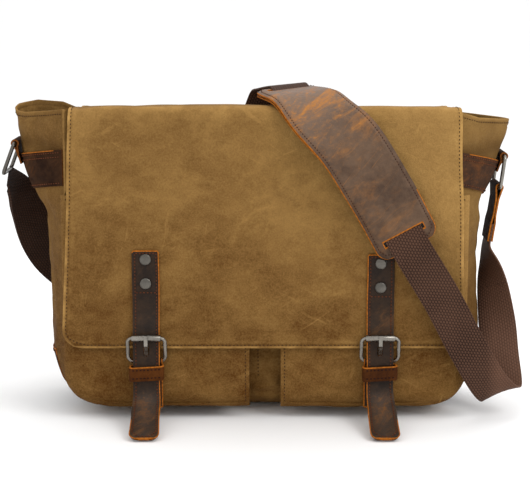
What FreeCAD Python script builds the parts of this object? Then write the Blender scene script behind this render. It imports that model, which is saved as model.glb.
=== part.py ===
# Canvas messenger bag with a full front flap, two buckled flap straps and a padded shoulder strap.
# Millimetres. X to the right, Y to the back, Z up; the origin is the centre of the base's underside.
import FreeCAD, Part
import os
from math import radians, sin, cos, tan

V = FreeCAD.Vector
os.makedirs("parts", exist_ok=True)

# body: half width, front and back of the main compartment, heights
half_w = 198.0
front_y = -44.0
back_y = 54.0
mid_y = 5.0
cloth = 2.0
front_top = 302.0
back_top = 299.0

# inside: stiff base board, loose lining and the padded laptop divider
board_half, board_top = 192.0, 5.0
lining_half, lining_top = 195.5, 292.0
divider_y, divider_top = (28.0, 36.0), 250.0
seam_strip_low, seam_strip_t = 282.0, 1.6

# side bulge of each gusset at rising heights (height, bulge beyond the half width)
left_levels = [(2, 6), (30, 14), (70, 20), (130, 20.5), (180, 22), (206, 23), (222, 35), (260, 48),
               (285, 52), (307, 55)]
right_levels = [(2, 6), (30, 14), (70, 19), (130, 19.5), (180, 23), (199, 23), (211, 19), (224, 25), (251, 36),
                (268, 42), (301, 50)]

# leather on the gussets: base patches, ring bands and the loops sewn on the bands
patch_top, patch_t = 62.0, 1.6
band_t = 2.0
band_heights = {"left": (224, 260), "right": (218, 252)}
loop_half = 17.0
loop_outer_r, loop_inner_r = 4.2, 2.4
loop_foot = 20.0

# front pockets
pocket_y = -68.0
pocket_cloth = 2.0
pocket_low, pocket_high = 14.0, 226.0
pocket_inner, pocket_outer = 16.0, 194.0
bellows_wall = 1.5

# flap: the sheet folds over the front top edge and turns about a line along the top of the back panel
flap_front_y = -73.0
flap_cloth = 2.0
flap_bottom = 74.0
flap_crest = 312.3
flap_drop = 10.6
fold_r = 12.0
hinge_y, hinge_z = 57.0, 301.4
flap_top_half, flap_low_half = 190.0, 198.5
flap_corner = 12.0
lining_cloth = 0.8
lining_end_y = 50.0

# flap straps, buckles and keepers
strap_x = (-117.0, 113.5)
strap_w = 26.5
strap_t = 3.2
strap_top = {"left": 173.0, "right": 169.0}
rivets_below_top = (9.0, 33.0)
rivet_r = 1.6
strap_bend_r, strap_bend_deg, strap_tip_run = 22.0, 70, 49.5
tip_corner = 8.0
prong_slot_half, prong_slot_z = 2.6, (60.2, 76.5)
bar_y, bar_z = -73.9, 61.0
roller_y, roller_z = -80.5, 86.0
roller_r, roller_half = 3.0, 14.2
wire_r = 1.6
frame_half = 18.4
run_fit = 0.08
snap_z = 36.0
keeper_z = (42.5, 57.0)

# side rings and the shoulder strap
ring_wire = 2.0
ring_inner = 42.0
ring_corner = 4.0
ring_drop = 32.0
left_loop = V(-252.3, mid_y, 271)
right_loop = V(241.5, mid_y, 258)
web_w = 38.0
web_t = 1.8
pad_w = 64.0
ring_lean = {"left": 21.0, "right": 7.1}
web_slope = 23.4

# leather tab that joins the web to the right ring, and the sliding buckle on the back run
tab_half, tab_run, tab_lean = 18.7, 56.0, 8.5
tab_inner, tab_outer = 1.3, 3.0
slider_at = V(-60, 64, 165.2)
slider_half, slider_high = 24.0, 15.0

# everything is cut to these outer limits, well clear of the bag
far_x, far_front, far_back, far_top = 300.0, -90.0, 70.0, 320.0


def save(name, shape):
    shape.exportStep("parts/" + name + ".step")


def box(x0, x1, y0, y1, z0, z1):
    return Part.makeBox(x1 - x0, y1 - y0, z1 - z0, V(x0, y0, z0))


def rod_y(r, x, z, y0, y1):
    return Part.makeCylinder(r, y1 - y0, V(x, y0, z), V(0, 1, 0))


def rod_x(r, y, z, x0, x1):
    return Part.makeCylinder(r, x1 - x0, V(x0, y, z), V(1, 0, 0))


def prism_x(points, x0, x1):
    """Side outline given as (y, z) pairs, extruded across the width."""
    wire = Part.makePolygon([V(x0, y, z) for y, z in points + points[:1]])
    return Part.Face(wire).extrude(V(x1 - x0, 0, 0))


def gusset_body(levels, side, grow):
    """Solid bulge of one side; grow moves its outer face outwards."""
    rings = []
    for z, bulge in levels:
        a = V(side * (half_w + grow), front_y, z)
        m = V(side * (half_w + bulge + grow), mid_y, z)
        b = V(side * (half_w + grow), back_y, z)
        c, d = V(side * 180, back_y, z), V(side * 180, front_y, z)
        edges = [Part.Arc(a, m, b).toShape(), Part.makeLine(b, c), Part.makeLine(c, d), Part.makeLine(d, a)]
        rings.append(Part.Wire(edges))
    return Part.makeLoft(rings, True, True)


def smooth(stations, count):
    """Even stations along a spline through (centre, width direction) pairs."""
    path, across = Part.BSplineCurve(), Part.BSplineCurve()
    knots = [0.0]
    for (p, _), (q, _) in zip(stations, stations[1:]):
        knots.append(knots[-1] + (V(*q) - V(*p)).Length)
    path.interpolate(Points=[V(*p) for p, _ in stations], Parameters=knots)
    across.interpolate(Points=[V(*p) + V(*w) * 20 for p, w in stations], Parameters=knots)
    steps = [knots[-1] * i / count for i in range(count + 1)]
    return [(path.value(s), path.tangent(s)[0], across.value(s) - path.value(s)) for s in steps]


def ribbon(stations, width, inner, outer, side=1):
    """Flat strip along stations; inner and outer are its two faces measured along the normal."""
    rings = []
    for p, t, w in stations:
        n = t.cross(w).normalize() * side
        u = n.cross(t).normalize()
        rings.append([p + u * (width / 2) * a + n * b
                      for a, b in ((-1, inner), (1, inner), (1, outer), (-1, outer))])
    faces = [Part.Face(Part.makePolygon(ring + ring[:1])) for ring in (rings[0], rings[-1])]
    for here, there in zip(rings, rings[1:]):
        for i in range(4):
            j = (i + 1) % 4
            sides = Part.makeLine(here[i], here[j]), Part.makeLine(there[i], there[j])
            faces.append(Part.makeRuledSurface(*sides))
    shell = Part.makeShell(faces)
    shell.sewShape()
    strip = Part.makeSolid(shell)
    if strip.Volume < 0:
        strip.reverse()
    return strip


def rounded_ring(width, height, corner, r):
    """Bent wire loop in the X-Z plane, its lower bar centred on the origin."""
    w = width / 2 - corner
    edges = [Part.makeLine(V(-w, 0, 0), V(w, 0, 0))]
    c = corner * (1 - cos(radians(45)))
    h = height
    edges.append(Part.Arc(V(w, 0, 0), V(w + corner - c, 0, c), V(w + corner, 0, corner)).toShape())
    edges.append(Part.makeLine(V(w + corner, 0, corner), V(w + corner, 0, h - corner)))
    edges.append(Part.Arc(V(w + corner, 0, h - corner), V(w + corner - c, 0, h - c), V(w, 0, h)).toShape())
    edges.append(Part.makeLine(V(w, 0, h), V(-w, 0, h)))
    edges.append(Part.Arc(V(-w, 0, h), V(-w - corner + c, 0, h - c), V(-w - corner, 0, h - corner)).toShape())
    edges.append(Part.makeLine(V(-w - corner, 0, h - corner), V(-w - corner, 0, corner)))
    edges.append(Part.Arc(V(-w - corner, 0, corner), V(-w - corner + c, 0, c), V(-w, 0, 0)).toShape())
    profile = Part.Wire([Part.makeCircle(r, V(0, 0, 0), V(1, 0, 0))])
    return Part.Wire(edges).makePipeShell([profile], True, False)


def core(half):
    """Plain block that fills the middle of the bag out to the given half width."""
    return box(-half, half, far_front, far_back, 0, far_top)


def body():
    save("front_panel", box(-half_w, half_w, front_y - cloth, front_y, cloth, front_top))
    save("back_panel", box(-half_w, half_w, back_y, back_y + cloth, cloth, back_top))
    save("base_panel", box(-half_w, half_w, front_y - cloth, back_y + cloth, 0, cloth))
    save("base_board", box(-board_half, board_half, front_y + 2, back_y - 2, cloth, board_top))
    behind = back_y + cloth
    strip = box(-flap_top_half, flap_top_half, behind, behind + seam_strip_t, seam_strip_low, back_top)
    save("flap_seam_strip", strip)
    outer = box(-lining_half, lining_half, front_y + 0.2, back_y - 0.2, board_top + 0.2, lining_top)
    room = lining_half - lining_cloth
    floor = board_top + 0.2 + lining_cloth
    save("lining", outer.cut(box(-room, room, front_y + 1, back_y - 1, floor, lining_top + 1)))
    save("divider_pad", box(-room, room, divider_y[0], divider_y[1], floor, divider_top))
    for name, side, levels in (("left", -1, left_levels), ("right", 1, right_levels)):
        skin = gusset_body(levels, side, 0)
        hollow = gusset_body(levels, side, -cloth).fuse(core(half_w - cloth))
        save("gusset_" + name, skin.cut(hollow))
        low = box(-far_x, far_x, front_y, back_y, cloth, patch_top)
        save("base_patch_" + name, gusset_body(levels, side, patch_t).common(low).cut(skin.fuse(core(half_w))))


def pockets():
    for name, side in (("left", -1), ("right", 1)):
        x0, x1 = sorted((side * pocket_inner, side * pocket_outer))
        face = box(x0, x1, pocket_y, pocket_y + pocket_cloth, pocket_low, pocket_high)
        save("pocket_face_" + name, face)
        deep = (pocket_y + pocket_cloth, front_y - cloth)
        wall = 1 + bellows_wall
        strip = box(x0 + 1, x1 - 1, deep[0], deep[1], pocket_low + 1, pocket_high)
        room = box(x0 + wall, x1 - wall, deep[0], deep[1], pocket_low + wall, pocket_high + 1)
        save("pocket_bellows_" + name, strip.cut(room))


def side_hardware():
    """Leather band round each gusset, the loop sewn to it and the ring hanging in the loop."""
    for name, side, levels, c in (("left", -1, left_levels, left_loop), ("right", 1, right_levels, right_loop)):
        low, high = band_heights[name]
        skin = gusset_body(levels, side, 0).fuse(core(half_w))
        band_body = gusset_body(levels, side, band_t)
        save("ring_band_" + name, band_body.common(box(-far_x, far_x, front_y, back_y, low, high)).cut(skin))
        y0, y1 = mid_y - loop_half, mid_y + loop_half
        sewn = gusset_body(levels, side, 2 * band_t).common(box(-far_x, far_x, y0, y1, high - loop_foot, high))
        neck_x = sorted((c.x, c.x - side * 3.6))
        neck = box(neck_x[0], neck_x[1], y0, y1, high - 4, c.z)
        under = band_body.common(box(-far_x, far_x, far_front, far_back, 0, high))
        loop = rod_y(loop_outer_r, c.x, c.z, y0, y1).fuse(neck).fuse(sewn).cut(under)
        loop = loop.cut(skin).cut(rod_y(loop_inner_r, c.x, c.z, y0, y1))
        save("ring_loop_" + name, max(loop.Solids, key=lambda s: s.Volume))
        ring = rounded_ring(ring_inner + 2 * ring_wire, ring_drop, ring_corner, ring_wire)
        ring.translate(V(0, 0, -ring_drop))
        ring.rotate(V(0, 0, 0), V(0, 0, 1), 90)
        ring.rotate(V(0, 0, 0), V(0, 1, 0), ring_lean[name])
        ring.translate(c)
        save("side_ring_" + name, ring)


def flap_profile(outer_y, crest, r, thick, end):
    """Side outline of the folded flap sheet, from the lower hem over the top to its back end."""
    outer, inner = [(outer_y, flap_bottom)], [(outer_y + thick, flap_bottom)]
    for i in range(7):
        a = radians(90 * i / 6)
        outer.append((outer_y + r - r * cos(a), crest - r + r * sin(a)))
        inner.append((outer_y + r - (r - thick) * cos(a), crest - r + (r - thick) * sin(a)))
    fold_y = flap_front_y + fold_r
    drop = flap_drop * (end - fold_y) / (hinge_y - fold_y)
    outer.append((end, crest - drop))
    inner.append((end, crest - thick - drop))
    return outer + inner[::-1]


def flap():
    low = 90.0
    corners = [(-flap_low_half, low), (-flap_top_half, far_top), (flap_top_half, far_top), (flap_low_half, low)]
    wire = Part.makePolygon([V(x, far_front, z) for x, z in corners + corners[:1]])
    outline = Part.Face(wire).extrude(V(0, far_back - far_front, 0))
    foot = box(-flap_low_half, flap_low_half, far_front, far_back, flap_bottom, low)
    for side in (-1, 1):
        x = side * (flap_low_half - flap_corner)
        x0, x1 = sorted((x, side * flap_low_half))
        sharp = box(x0, x1, far_front, far_back, flap_bottom, flap_bottom + flap_corner)
        foot = foot.cut(sharp.cut(rod_y(flap_corner, x, flap_bottom + flap_corner, far_front, far_back)))
    outline = outline.fuse(foot).removeSplitter()
    holes = [rod_y(rivet_r, x, strap_top[name] - down, far_front, mid_y)
             for name, x in zip(("left", "right"), strap_x) for down in rivets_below_top]
    layers = (("flap_shell", 0, flap_cloth, hinge_y + 0.8),
              ("flap_lining", flap_cloth, lining_cloth, lining_end_y))
    for name, inset, thick, end in layers:
        profile = flap_profile(flap_front_y + inset, flap_crest - inset, fold_r - inset, thick, end)
        sheet = prism_x(profile, -far_x, far_x).common(outline)
        for hole in holes:
            sheet = sheet.cut(hole)
        save(name, sheet)


def flap_strap():
    """Strap riveted to the flap, running behind the roller, over the chape and out to a free tip."""
    centre = [(-74.6, strap_top["left"]), (-74.6, 92), (-75.6, 86), (-77.6, 74), (-79.3, 61), (-79.3, 42)]
    down_y, down_z = centre[-1]
    steps = 7
    for i in range(1, steps + 1):
        a = radians(strap_bend_deg * i / steps)
        centre.append((down_y - strap_bend_r * (1 - cos(a)), down_z - strap_bend_r * sin(a)))
    end = centre[-1]
    centre.append((end[0] - strap_tip_run, end[1] - strap_tip_run / tan(radians(strap_bend_deg))))
    back, front = [], []
    for i, (y, z) in enumerate(centre):
        a, b = centre[max(i - 1, 0)], centre[min(i + 1, len(centre) - 1)]
        d = V(0, b[0] - a[0], b[1] - a[1]).normalize()
        back.append((y - d.z * strap_t / 2, z + d.y * strap_t / 2))
        front.append((y + d.z * strap_t / 2, z - d.y * strap_t / 2))
    tip = centre[-1][0]
    for name, x in zip(("left", "right"), strap_x):
        w = strap_w / 2
        top = strap_top[name]
        strap = prism_x(back + front[::-1], x - w, x + w).cut(box(x - w, x + w, far_front, mid_y, top, far_top))
        rivet_z = [top - down for down in rivets_below_top]
        for side in (-1, 1):
            corner_x = x + side * (w - tip_corner)
            x0, x1 = sorted((corner_x, x + side * w))
            sharp = box(x0, x1, tip - 3, tip + tip_corner - 1, -2, 20)
            rounded = Part.makeCylinder(tip_corner, 30, V(corner_x, tip + tip_corner - 1, -5))
            strap = strap.cut(sharp.cut(rounded))
        strap = strap.cut(box(x - prong_slot_half, x + prong_slot_half, -84, -72, *prong_slot_z))
        for z in rivet_z:
            strap = strap.cut(rod_y(rivet_r, x, z, far_front, mid_y))
        save("flap_strap_" + name, strap)
        rivets = []
        for z in rivet_z:
            head = rod_y(5.75, x, z, -77.2, -76.2)
            head = head.fuse(Part.makeCone(4.6, 5.75, 0.9, V(x, -78.1, z), V(0, 1, 0)))
            shank = rod_y(rivet_r, x, z, -76.2, -70.2)
            cap = rod_y(4.5, x, z, -70.2, -69.3)
            rivets.append(head.fuse(shank).fuse(cap))
        save("strap_rivets_" + name, Part.makeCompound(rivets))


def buckle():
    lean = FreeCAD.Rotation(V(0, 0, 1), V(0, roller_y - bar_y, roller_z - bar_z))
    reach = V(0, roller_y - bar_y, roller_z - bar_z).Length
    for name, x in zip(("left", "right"), strap_x):
        frame = rounded_ring(2 * frame_half, reach, 4, wire_r)
        frame.Placement = FreeCAD.Placement(V(x, bar_y, bar_z), lean)
        save("buckle_frame_" + name, frame)
        roller = rod_x(roller_r, roller_y, roller_z, x - roller_half, x + roller_half)
        bore = rod_x(wire_r + run_fit, roller_y, roller_z, x - roller_half - 1, x + roller_half + 1)
        save("buckle_roller_" + name, roller.cut(bore))
        inner = [(-74.2, 61.5), (-79.2, 70.8), (-83.9, 79.5), (-83.9, 89.5)]
        outer = [(-75.9, 59.6), (-81.2, 69.7), (-86.0, 79.0), (-86.0, 89.5)]
        prong = prism_x(inner + outer[::-1], x - 1.75, x + 1.75)
        prong = prong.fuse(rod_x(2.9, bar_y, bar_z, x - 1.75, x + 1.75))
        save("buckle_prong_" + name, prong.cut(rod_x(wire_r + run_fit, bar_y, bar_z, x - 2, x + 2)))
        to_centre = 2.5 if x < 0 else -2.5
        cx = x + to_centre
        chape = box(cx - 13, cx + 13, -75.5, -72.3, 24, 61).fuse(rod_x(3.4, bar_y, bar_z, x - 13, x + 13))
        chape = chape.cut(rod_x(wire_r, bar_y, bar_z, x - 20, x + 20))
        chape = chape.cut(box(x - prong_slot_half, x + prong_slot_half, -80, -68, 56, 66))
        save("buckle_chape_" + name, chape)
        save("snap_socket_" + name, rod_y(8, x, snap_z, -72.3, -69.9))
        save("snap_stud_" + name, rod_y(8.5, x, snap_z, -69.6, pocket_y))
        shell = box(x - 15.9, x + 15.9, -83.0, -75.5, *keeper_z)
        save("strap_keeper_" + name, shell.cut(box(x - 14, x + 14, -81.3, -77.3, 42, 58)))


def web_paths():
    """Stations of the webbing and the pad: (centre, direction across the strip)."""
    pad = [((142, -86.2, 176), (0.92, 0.03, 0.39)), ((136, -86.5, 187), (0.92, 0.03, 0.39)),
           ((122, -91, 213), (0.92, 0.03, 0.40)), ((99, -99, 252), (0.90, 0.06, 0.44)),
           ((76, -99, 286), (0.91, 0.12, 0.40)), ((54, -83, 308), (0.92, 0.22, 0.32)),
           ((40, -64, 323), (0.92, 0.30, 0.17)), ((27, -36, 327), (0.91, 0.40, 0.10)),
           ((19, -12, 328), (0.91, 0.41, 0.06))]
    front = [((135, -88.0, 189.2), (0.92, 0.03, 0.39)), ((142.5, -88.9, 175.5), (0.91, 0.03, 0.41)),
             ((152, -89.2, 160), (0.89, 0.02, 0.46)), ((175, -88, 122), (0.88, 0.02, 0.47)),
             ((195, -86, 84), (0.90, 0.02, 0.44)), ((211, -83, 56), (0.90, 0.02, 0.43)),
             ((224, -75, 36), (0.91, 0.04, 0.41)), ((235, -62, 26), (0.92, 0.05, 0.37)),
             ((241, -48, 29), (0.94, 0.05, 0.33)), ((241, -38, 45), (0.97, 0.08, 0.2)),
             ((239, -30, 68), (0.98, 0.06, 0.08)), ((236.5, -20, 96), (0.90, -0.42, 0.06)),
             ((233.5, -9, 124), (0.70, -0.71, 0.08)), ((230, 0, 147), (0.36, -0.93, 0.04)),
             ((228.3, 4.6, 163), (0.05, -1.0, 0.0)), ((229.4, 5, 171.5), (0.0, -1.0, 0.0)),
             ((230.6, 5, 180), (0.0, -1.0, 0.0)), ((231.9, 5, 189), (0.0, -1.0, 0.0))]
    fold = V(-128, 74, 42)
    turn, r, k = radians(12.4), 10.0, 0.716
    a, q, y = V(cos(turn), 0, sin(turn)), V(sin(turn), 0, -cos(turn)), V(0, 1, 0)
    round_fold = []
    for i in range(0, 7):
        f = radians(30 * i)
        e = y * -sin(f) + q * cos(f)
        c = fold + a * (k * r * f) + (y * cos(f) + q * sin(f)) * r
        round_fold.append((tuple(c), tuple((a - e * k).normalize())))
    down = [((-264.8, 6, 233.5), (0.0, 1.0, 0.0)), ((-258.6, 12.5, 222), (0.16, 0.985, 0.03)),
            ((-248, 32, 196), (0.72, 0.67, 0.15)), ((-242.5, 47, 168), (0.86, 0.38, 0.32)),
            ((-232, 60, 142), (0.80, 0.22, 0.55)), ((-207, 76, 114), (0.70, 0.08, 0.70))]
    slope = radians(web_slope)
    mid = slider_at
    leg = [((mid.x + d * sin(slope), mid.y, mid.z + d * cos(slope)), (cos(slope), 0, -sin(slope)))
           for d in (-100, -70, -40, -20, 0, 20, 40, 80, 118)]
    up = leg + [((-4, 65, 295), (0.92, 0.02, -0.38)), ((2, 60, 311), (0.92, 0.16, -0.32)),
                ((8, 44, 322), (0.92, 0.34, -0.12)), ((14, 22, 328), (0.92, 0.39, 0.0)),
                ((20, 0, 331), (0.91, 0.40, 0.05)), ((23.4, -15.0, 331), (0.91, 0.40, 0.08))]
    return pad, front, down, round_fold, up


def shoulder_strap():
    pad, front, down, round_fold, up = web_paths()
    line = smooth(pad, 26)
    ends = [ribbon([(p, t, w), (p + t * 3.0, t, w)], web_w + 3, -3, 2, -1) for p, t, w in (line[2], line[-3])]
    leather = ribbon(line, pad_w, -2.2, 0, -1)
    for slot in ends:
        leather = leather.cut(slot)
    save("shoulder_pad_leather", leather)
    save("strap_web_pad", ribbon(line[3:-3], web_w, -3.9, -2.3, -1))
    save("shoulder_pad_foam", ribbon(line[1:-1], pad_w - 8, -5.8, -4.0, -1))
    save("shoulder_pad_backing", ribbon(line, pad_w, -7.0, -5.9, -1))
    save("strap_web_front", ribbon(smooth(front, 48), web_w, -web_t / 2, web_t / 2))
    back = smooth(down + round_fold + up, 70)
    save("strap_web_back", ribbon(back, web_w, -web_t / 2, web_t / 2))
    save("strap_web_return", ribbon(back[1:17], web_w, web_t / 2 + 0.1, web_t * 1.5 + 0.1))


def tab_and_slider():
    lean = radians(ring_lean["right"])
    bottom = right_loop - V(ring_drop * sin(lean), 0, ring_drop * cos(lean))
    loop = rod_y(loop_outer_r, 0, 0, -tab_half, tab_half)
    loop = loop.fuse(box(-tab_outer, tab_outer, -tab_half, tab_half, -tab_run, 0))
    loop = loop.cut(rod_y(ring_wire + run_fit, 0, 0, -20, 20))
    loop = loop.cut(box(-tab_inner, tab_inner, -20, 20, -tab_run - 4, -1))
    loop.rotate(V(0, 0, 0), V(0, 1, 0), tab_lean)
    loop.translate(bottom)
    save("strap_end_tab", loop)
    inner = slider_half - 3.8
    deep = 4.2
    slider = box(-slider_half, slider_half, -deep, deep, -slider_high, slider_high)
    slider = slider.cut(box(-inner, inner, -5, 5, -slider_high - 1, slider_high + 1))
    for z in (-slider_high, slider_high - 4):
        slider = slider.fuse(box(-inner, inner, 1.6, deep, z, z + 4))
    slider = slider.fuse(box(-inner, inner, -deep, -1.6, -2, 2))
    slider.rotate(V(0, 0, 0), V(0, 1, 0), web_slope)
    slider.translate(slider_at)
    save("strap_slider", slider)


body()
pockets()
side_hardware()
flap()
flap_strap()
buckle()
shoulder_strap()
tab_and_slider()
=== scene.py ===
import math

import bpy
import numpy as np
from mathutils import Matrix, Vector, noise


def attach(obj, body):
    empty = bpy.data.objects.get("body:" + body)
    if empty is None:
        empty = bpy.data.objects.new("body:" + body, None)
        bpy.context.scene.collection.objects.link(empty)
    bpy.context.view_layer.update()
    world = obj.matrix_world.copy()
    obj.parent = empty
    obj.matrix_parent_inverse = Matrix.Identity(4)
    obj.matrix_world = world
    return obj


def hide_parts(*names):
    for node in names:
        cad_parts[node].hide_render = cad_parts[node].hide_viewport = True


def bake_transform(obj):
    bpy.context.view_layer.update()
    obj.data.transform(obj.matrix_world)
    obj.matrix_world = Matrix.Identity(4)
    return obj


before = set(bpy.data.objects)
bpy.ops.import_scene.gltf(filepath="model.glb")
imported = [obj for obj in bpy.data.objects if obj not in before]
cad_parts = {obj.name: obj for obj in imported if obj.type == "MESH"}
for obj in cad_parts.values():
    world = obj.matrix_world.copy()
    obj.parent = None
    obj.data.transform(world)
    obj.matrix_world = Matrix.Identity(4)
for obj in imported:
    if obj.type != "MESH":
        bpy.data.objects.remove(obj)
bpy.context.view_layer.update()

# The studio: a camera a little above the bag and straight in front of it, a wide pale floor,
# a bright even surround and three large soft lights.
camera_data = bpy.data.cameras.new("camera")
camera_data.lens = 97.0
camera_data.sensor_width = 36.0
camera_data.clip_end = 200.0
camera = bpy.data.objects.new("camera", camera_data)
camera.location = (0.0, -1.4467, 0.4251)
camera.rotation_euler = (math.radians(80.0), 0.0, 0.0)
bpy.context.collection.objects.link(camera)
bpy.context.scene.camera = camera
bpy.context.scene.view_settings.view_transform = "Standard"

world = bpy.data.worlds.new("surround")
world.use_nodes = True
world.node_tree.nodes["Background"].inputs["Color"].default_value = (1.0, 1.0, 1.0, 1.0)
world.node_tree.nodes["Background"].inputs["Strength"].default_value = 1.05
bpy.context.scene.world = world

for name, place, aim, size, power in (("key", (1.5, -1.2, 1.7), (0.1, 0, 0.2), 1.2, 20.0),
                                      ("fill", (-1.5, -1.2, 1.0), (0, 0, 0.15), 1.2, 1.0),
                                      ("top", (0.0, 0.4, 1.9), (0, 0, 0.1), 1.6, 8.0)):
    light_data = bpy.data.lights.new(name, "AREA")
    light_data.size = size
    light_data.energy = power
    light = bpy.data.objects.new(name, light_data)
    light.location = place
    light.rotation_euler = (Vector(aim) - Vector(place)).to_track_quat("-Z", "Y").to_euler()
    bpy.context.collection.objects.link(light)

bpy.ops.object.select_all(action="DESELECT")
bpy.ops.mesh.primitive_plane_add(size=120.0, location=(0, 0, -0.0004))
floor = bpy.context.object
floor.name = "floor"
floor_paint = bpy.data.materials.new("floor_paint")
floor_paint.use_nodes = True
floor_paint.node_tree.nodes["Principled BSDF"].inputs["Base Color"].default_value = (0.96, 0.96, 0.96, 1.0)
floor_paint.node_tree.nodes["Principled BSDF"].inputs["Roughness"].default_value = 0.9
floor.data.materials.append(floor_paint)


# The flap: one sheet of waxed cotton canvas, hemmed all round with a turned edge and one row of
# dark thread. It is sewn to the back panel, folds over the top and hangs down the whole front.
class Wire:
    """A shader socket that takes part in arithmetic."""

    def __init__(self, finish, socket):
        self.finish, self.socket = finish, socket

    def math(self, operation, *others, clamp=False):
        values = {i: v for i, v in enumerate((self,) + others)}
        return self.finish.node("ShaderNodeMath", {"operation": operation, "use_clamp": clamp}, values)

    def __add__(self, other):
        return self.math("ADD", other)

    def __mul__(self, other):
        return self.math("MULTIPLY", other)

    def __sub__(self, other):
        return self.math("SUBTRACT", other)

    def __rsub__(self, other):
        return self.finish.node("ShaderNodeMath", {"operation": "SUBTRACT"}, {0: other, 1: self})

    __radd__, __rmul__ = __add__, __mul__

    def clamped(self, times=1.0):
        """This value times a number, kept between 0 and 1."""
        return self.math("MULTIPLY", times, clamp=True)

    def band(self, low, high):
        """0 below low, 1 above high and a soft step between; low may be the larger."""
        return self.finish.node("ShaderNodeMapRange", {"interpolation_type": "SMOOTHSTEP"},
                                {"Value": self, "From Min": low, "From Max": high})


class Finish:
    """A material under construction: one Principled shader and the nodes that feed it."""

    def __init__(self, name, roughness, metallic=0.0, specular=0.5):
        self.material = bpy.data.materials.new(name)
        self.material.use_nodes = True
        self.tree = self.material.node_tree
        self.shader = self.tree.nodes["Principled BSDF"]
        self.shader.inputs["Roughness"].default_value = roughness
        self.shader.inputs["Metallic"].default_value = metallic
        self.shader.inputs["Specular IOR Level"].default_value = specular

    def node(self, kind, settings, values, output=0):
        """A new node: its settings first, then the values or links of its sockets."""
        made = self.tree.nodes.new(kind)
        for key, value in settings.items():
            setattr(made, key, value)
        for key, value in values.items():
            if isinstance(value, Wire):
                self.tree.links.new(value.socket, made.inputs[key])
            else:
                made.inputs[key].default_value = value
        return Wire(self, made.outputs[output])

    def place(self):
        return self.node("ShaderNodeTexCoord", {}, {}, "Object")

    def stretched(self, vector, scale=(1, 1, 1), turn=(0, 0, 0), shift=(0, 0, 0)):
        return self.node("ShaderNodeMapping", {}, {"Vector": vector, "Scale": scale, "Rotation": turn,
                                                   "Location": shift})

    def cloud(self, vector, scale, detail=3.0, rough=0.55, distort=0.0):
        return self.node("ShaderNodeTexNoise", {}, {"Vector": vector, "Scale": scale, "Detail": detail,
                                                    "Roughness": rough, "Distortion": distort})

    def blend(self, share, first, second):
        """The first colour at share 0, the second at share 1."""
        mixed = self.tree.nodes.new("ShaderNodeMix")
        mixed.data_type = "RGBA"
        for key, value in ((0, share), (6, first), (7, second)):
            if isinstance(value, Wire):
                self.tree.links.new(value.socket, mixed.inputs[key])
            else:
                mixed.inputs[key].default_value = value if key == 0 else (*value, 1.0)
        return Wire(self, mixed.outputs[2])

    def feed(self, **wires):
        for key, wire in wires.items():
            self.tree.links.new(wire.socket, self.shader.inputs[key.replace("_", " ")])

    def relief(self, height, distance, strength):
        return self.node("ShaderNodeBump", {}, {"Height": height, "Distance": distance, "Strength": strength})


def shade(colour, times):
    """The same colour, lighter or darker."""
    return tuple(times * c for c in colour)


def waxed_canvas(name, light, dark):
    """Ochre canvas: plain weave, blotchy wax, short pale creases, painted shade towards the bottom and
    painted light towards the upper right.

    Each sheet's wear attribute lightens rubbed ridges and painted fold highlights (above 0) and paints shade
    into stitch grooves, a fold in each ear and the side gussets (below 0).
    """
    f = Finish(name, roughness=0.8, specular=0.06)
    at = f.place()
    # Painted light: the canvas is lighter high up and, up there, to the right, and darker low down, as light
    # falls from the upper right.
    high = f.node("ShaderNodeSeparateXYZ", {}, {"Vector": at}, "Z").band(0.02, 0.30)
    right = f.node("ShaderNodeSeparateXYZ", {}, {"Vector": at}, "X").band(-0.10, 0.20)
    blotch = f.cloud(at, 17.0, 5.0, 0.62, 0.6).band(0.36, 0.64)
    small = f.cloud(f.stretched(at, (1.0, 1.0, 1.6)), 52.0, 4.0, 0.65, 0.4).band(0.34, 0.68)
    grain = f.cloud(at, 620.0, 3.0, 0.75).band(0.26, 0.76)
    share = high * (0.30 + right * 0.36) + blotch * 0.20 + small * 0.13 + grain * 0.28 - 0.085
    colour = f.blend(share.clamped(0.95), dark, light)
    creases = None
    for turn, shift in ((0.45, 1.7), (-0.55, 8.3), (1.30, 4.9)):
        turned_at = f.stretched(at, (1, 1, 1), (0.0, turn, 0.0), (shift, shift, 0))
        field = f.cloud(f.stretched(turned_at, (28.0, 28.0, 150.0)), 1.0, 4.0, 0.6, 0.8).band(0.58, 0.78)
        gate = f.cloud(f.stretched(at, (1, 1, 1), (0, 0, 0), (shift, 2, 0)), 9.0, 1.0).band(0.44, 0.58)
        creases = field * gate if creases is None else creases + field * gate
    colour = f.blend(creases.clamped(0.26), colour, shade(light, 1.35))
    wear = f.node("ShaderNodeAttribute", {"attribute_name": "wear"}, {}, "Fac")
    # Above 0 the wear attribute is rubbed paleness, plus painted highlights on the ears' folds.
    colour = f.blend((wear * (0.55 + small * 0.6)).clamped(), colour, shade(light, 1.45))
    # Below 0 it is painted shade: darker stitch grooves, a fold in each ear and the side gussets.
    colour = f.blend(wear.clamped(-1.0), colour, shade(dark, 0.42))
    weave = []
    for axis in (0, 2):
        turn = (0, 0, 0) if axis == 0 else (0, math.pi / 2, 0)
        weave.append(f.node("ShaderNodeTexWave", {"wave_type": "BANDS"},
                            {"Vector": f.stretched(at, (1, 1, 1), turn), "Scale": 300.0, "Distortion": 0.8,
                             "Detail": 1.0}, "Fac"))
    threads = weave[0] * 0.5 + weave[1] * 0.5
    colour = f.blend((1 - threads) * 0.16, colour, shade(dark, 0.55))
    height = threads * 0.35 + grain * 0.6 + small * 0.6 + blotch * 0.9 + creases * 0.5
    f.feed(Base_Color=colour, Roughness=0.72 + blotch * 0.16, Normal=f.relief(height, 0.0007, 0.6))
    return f.material


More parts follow.
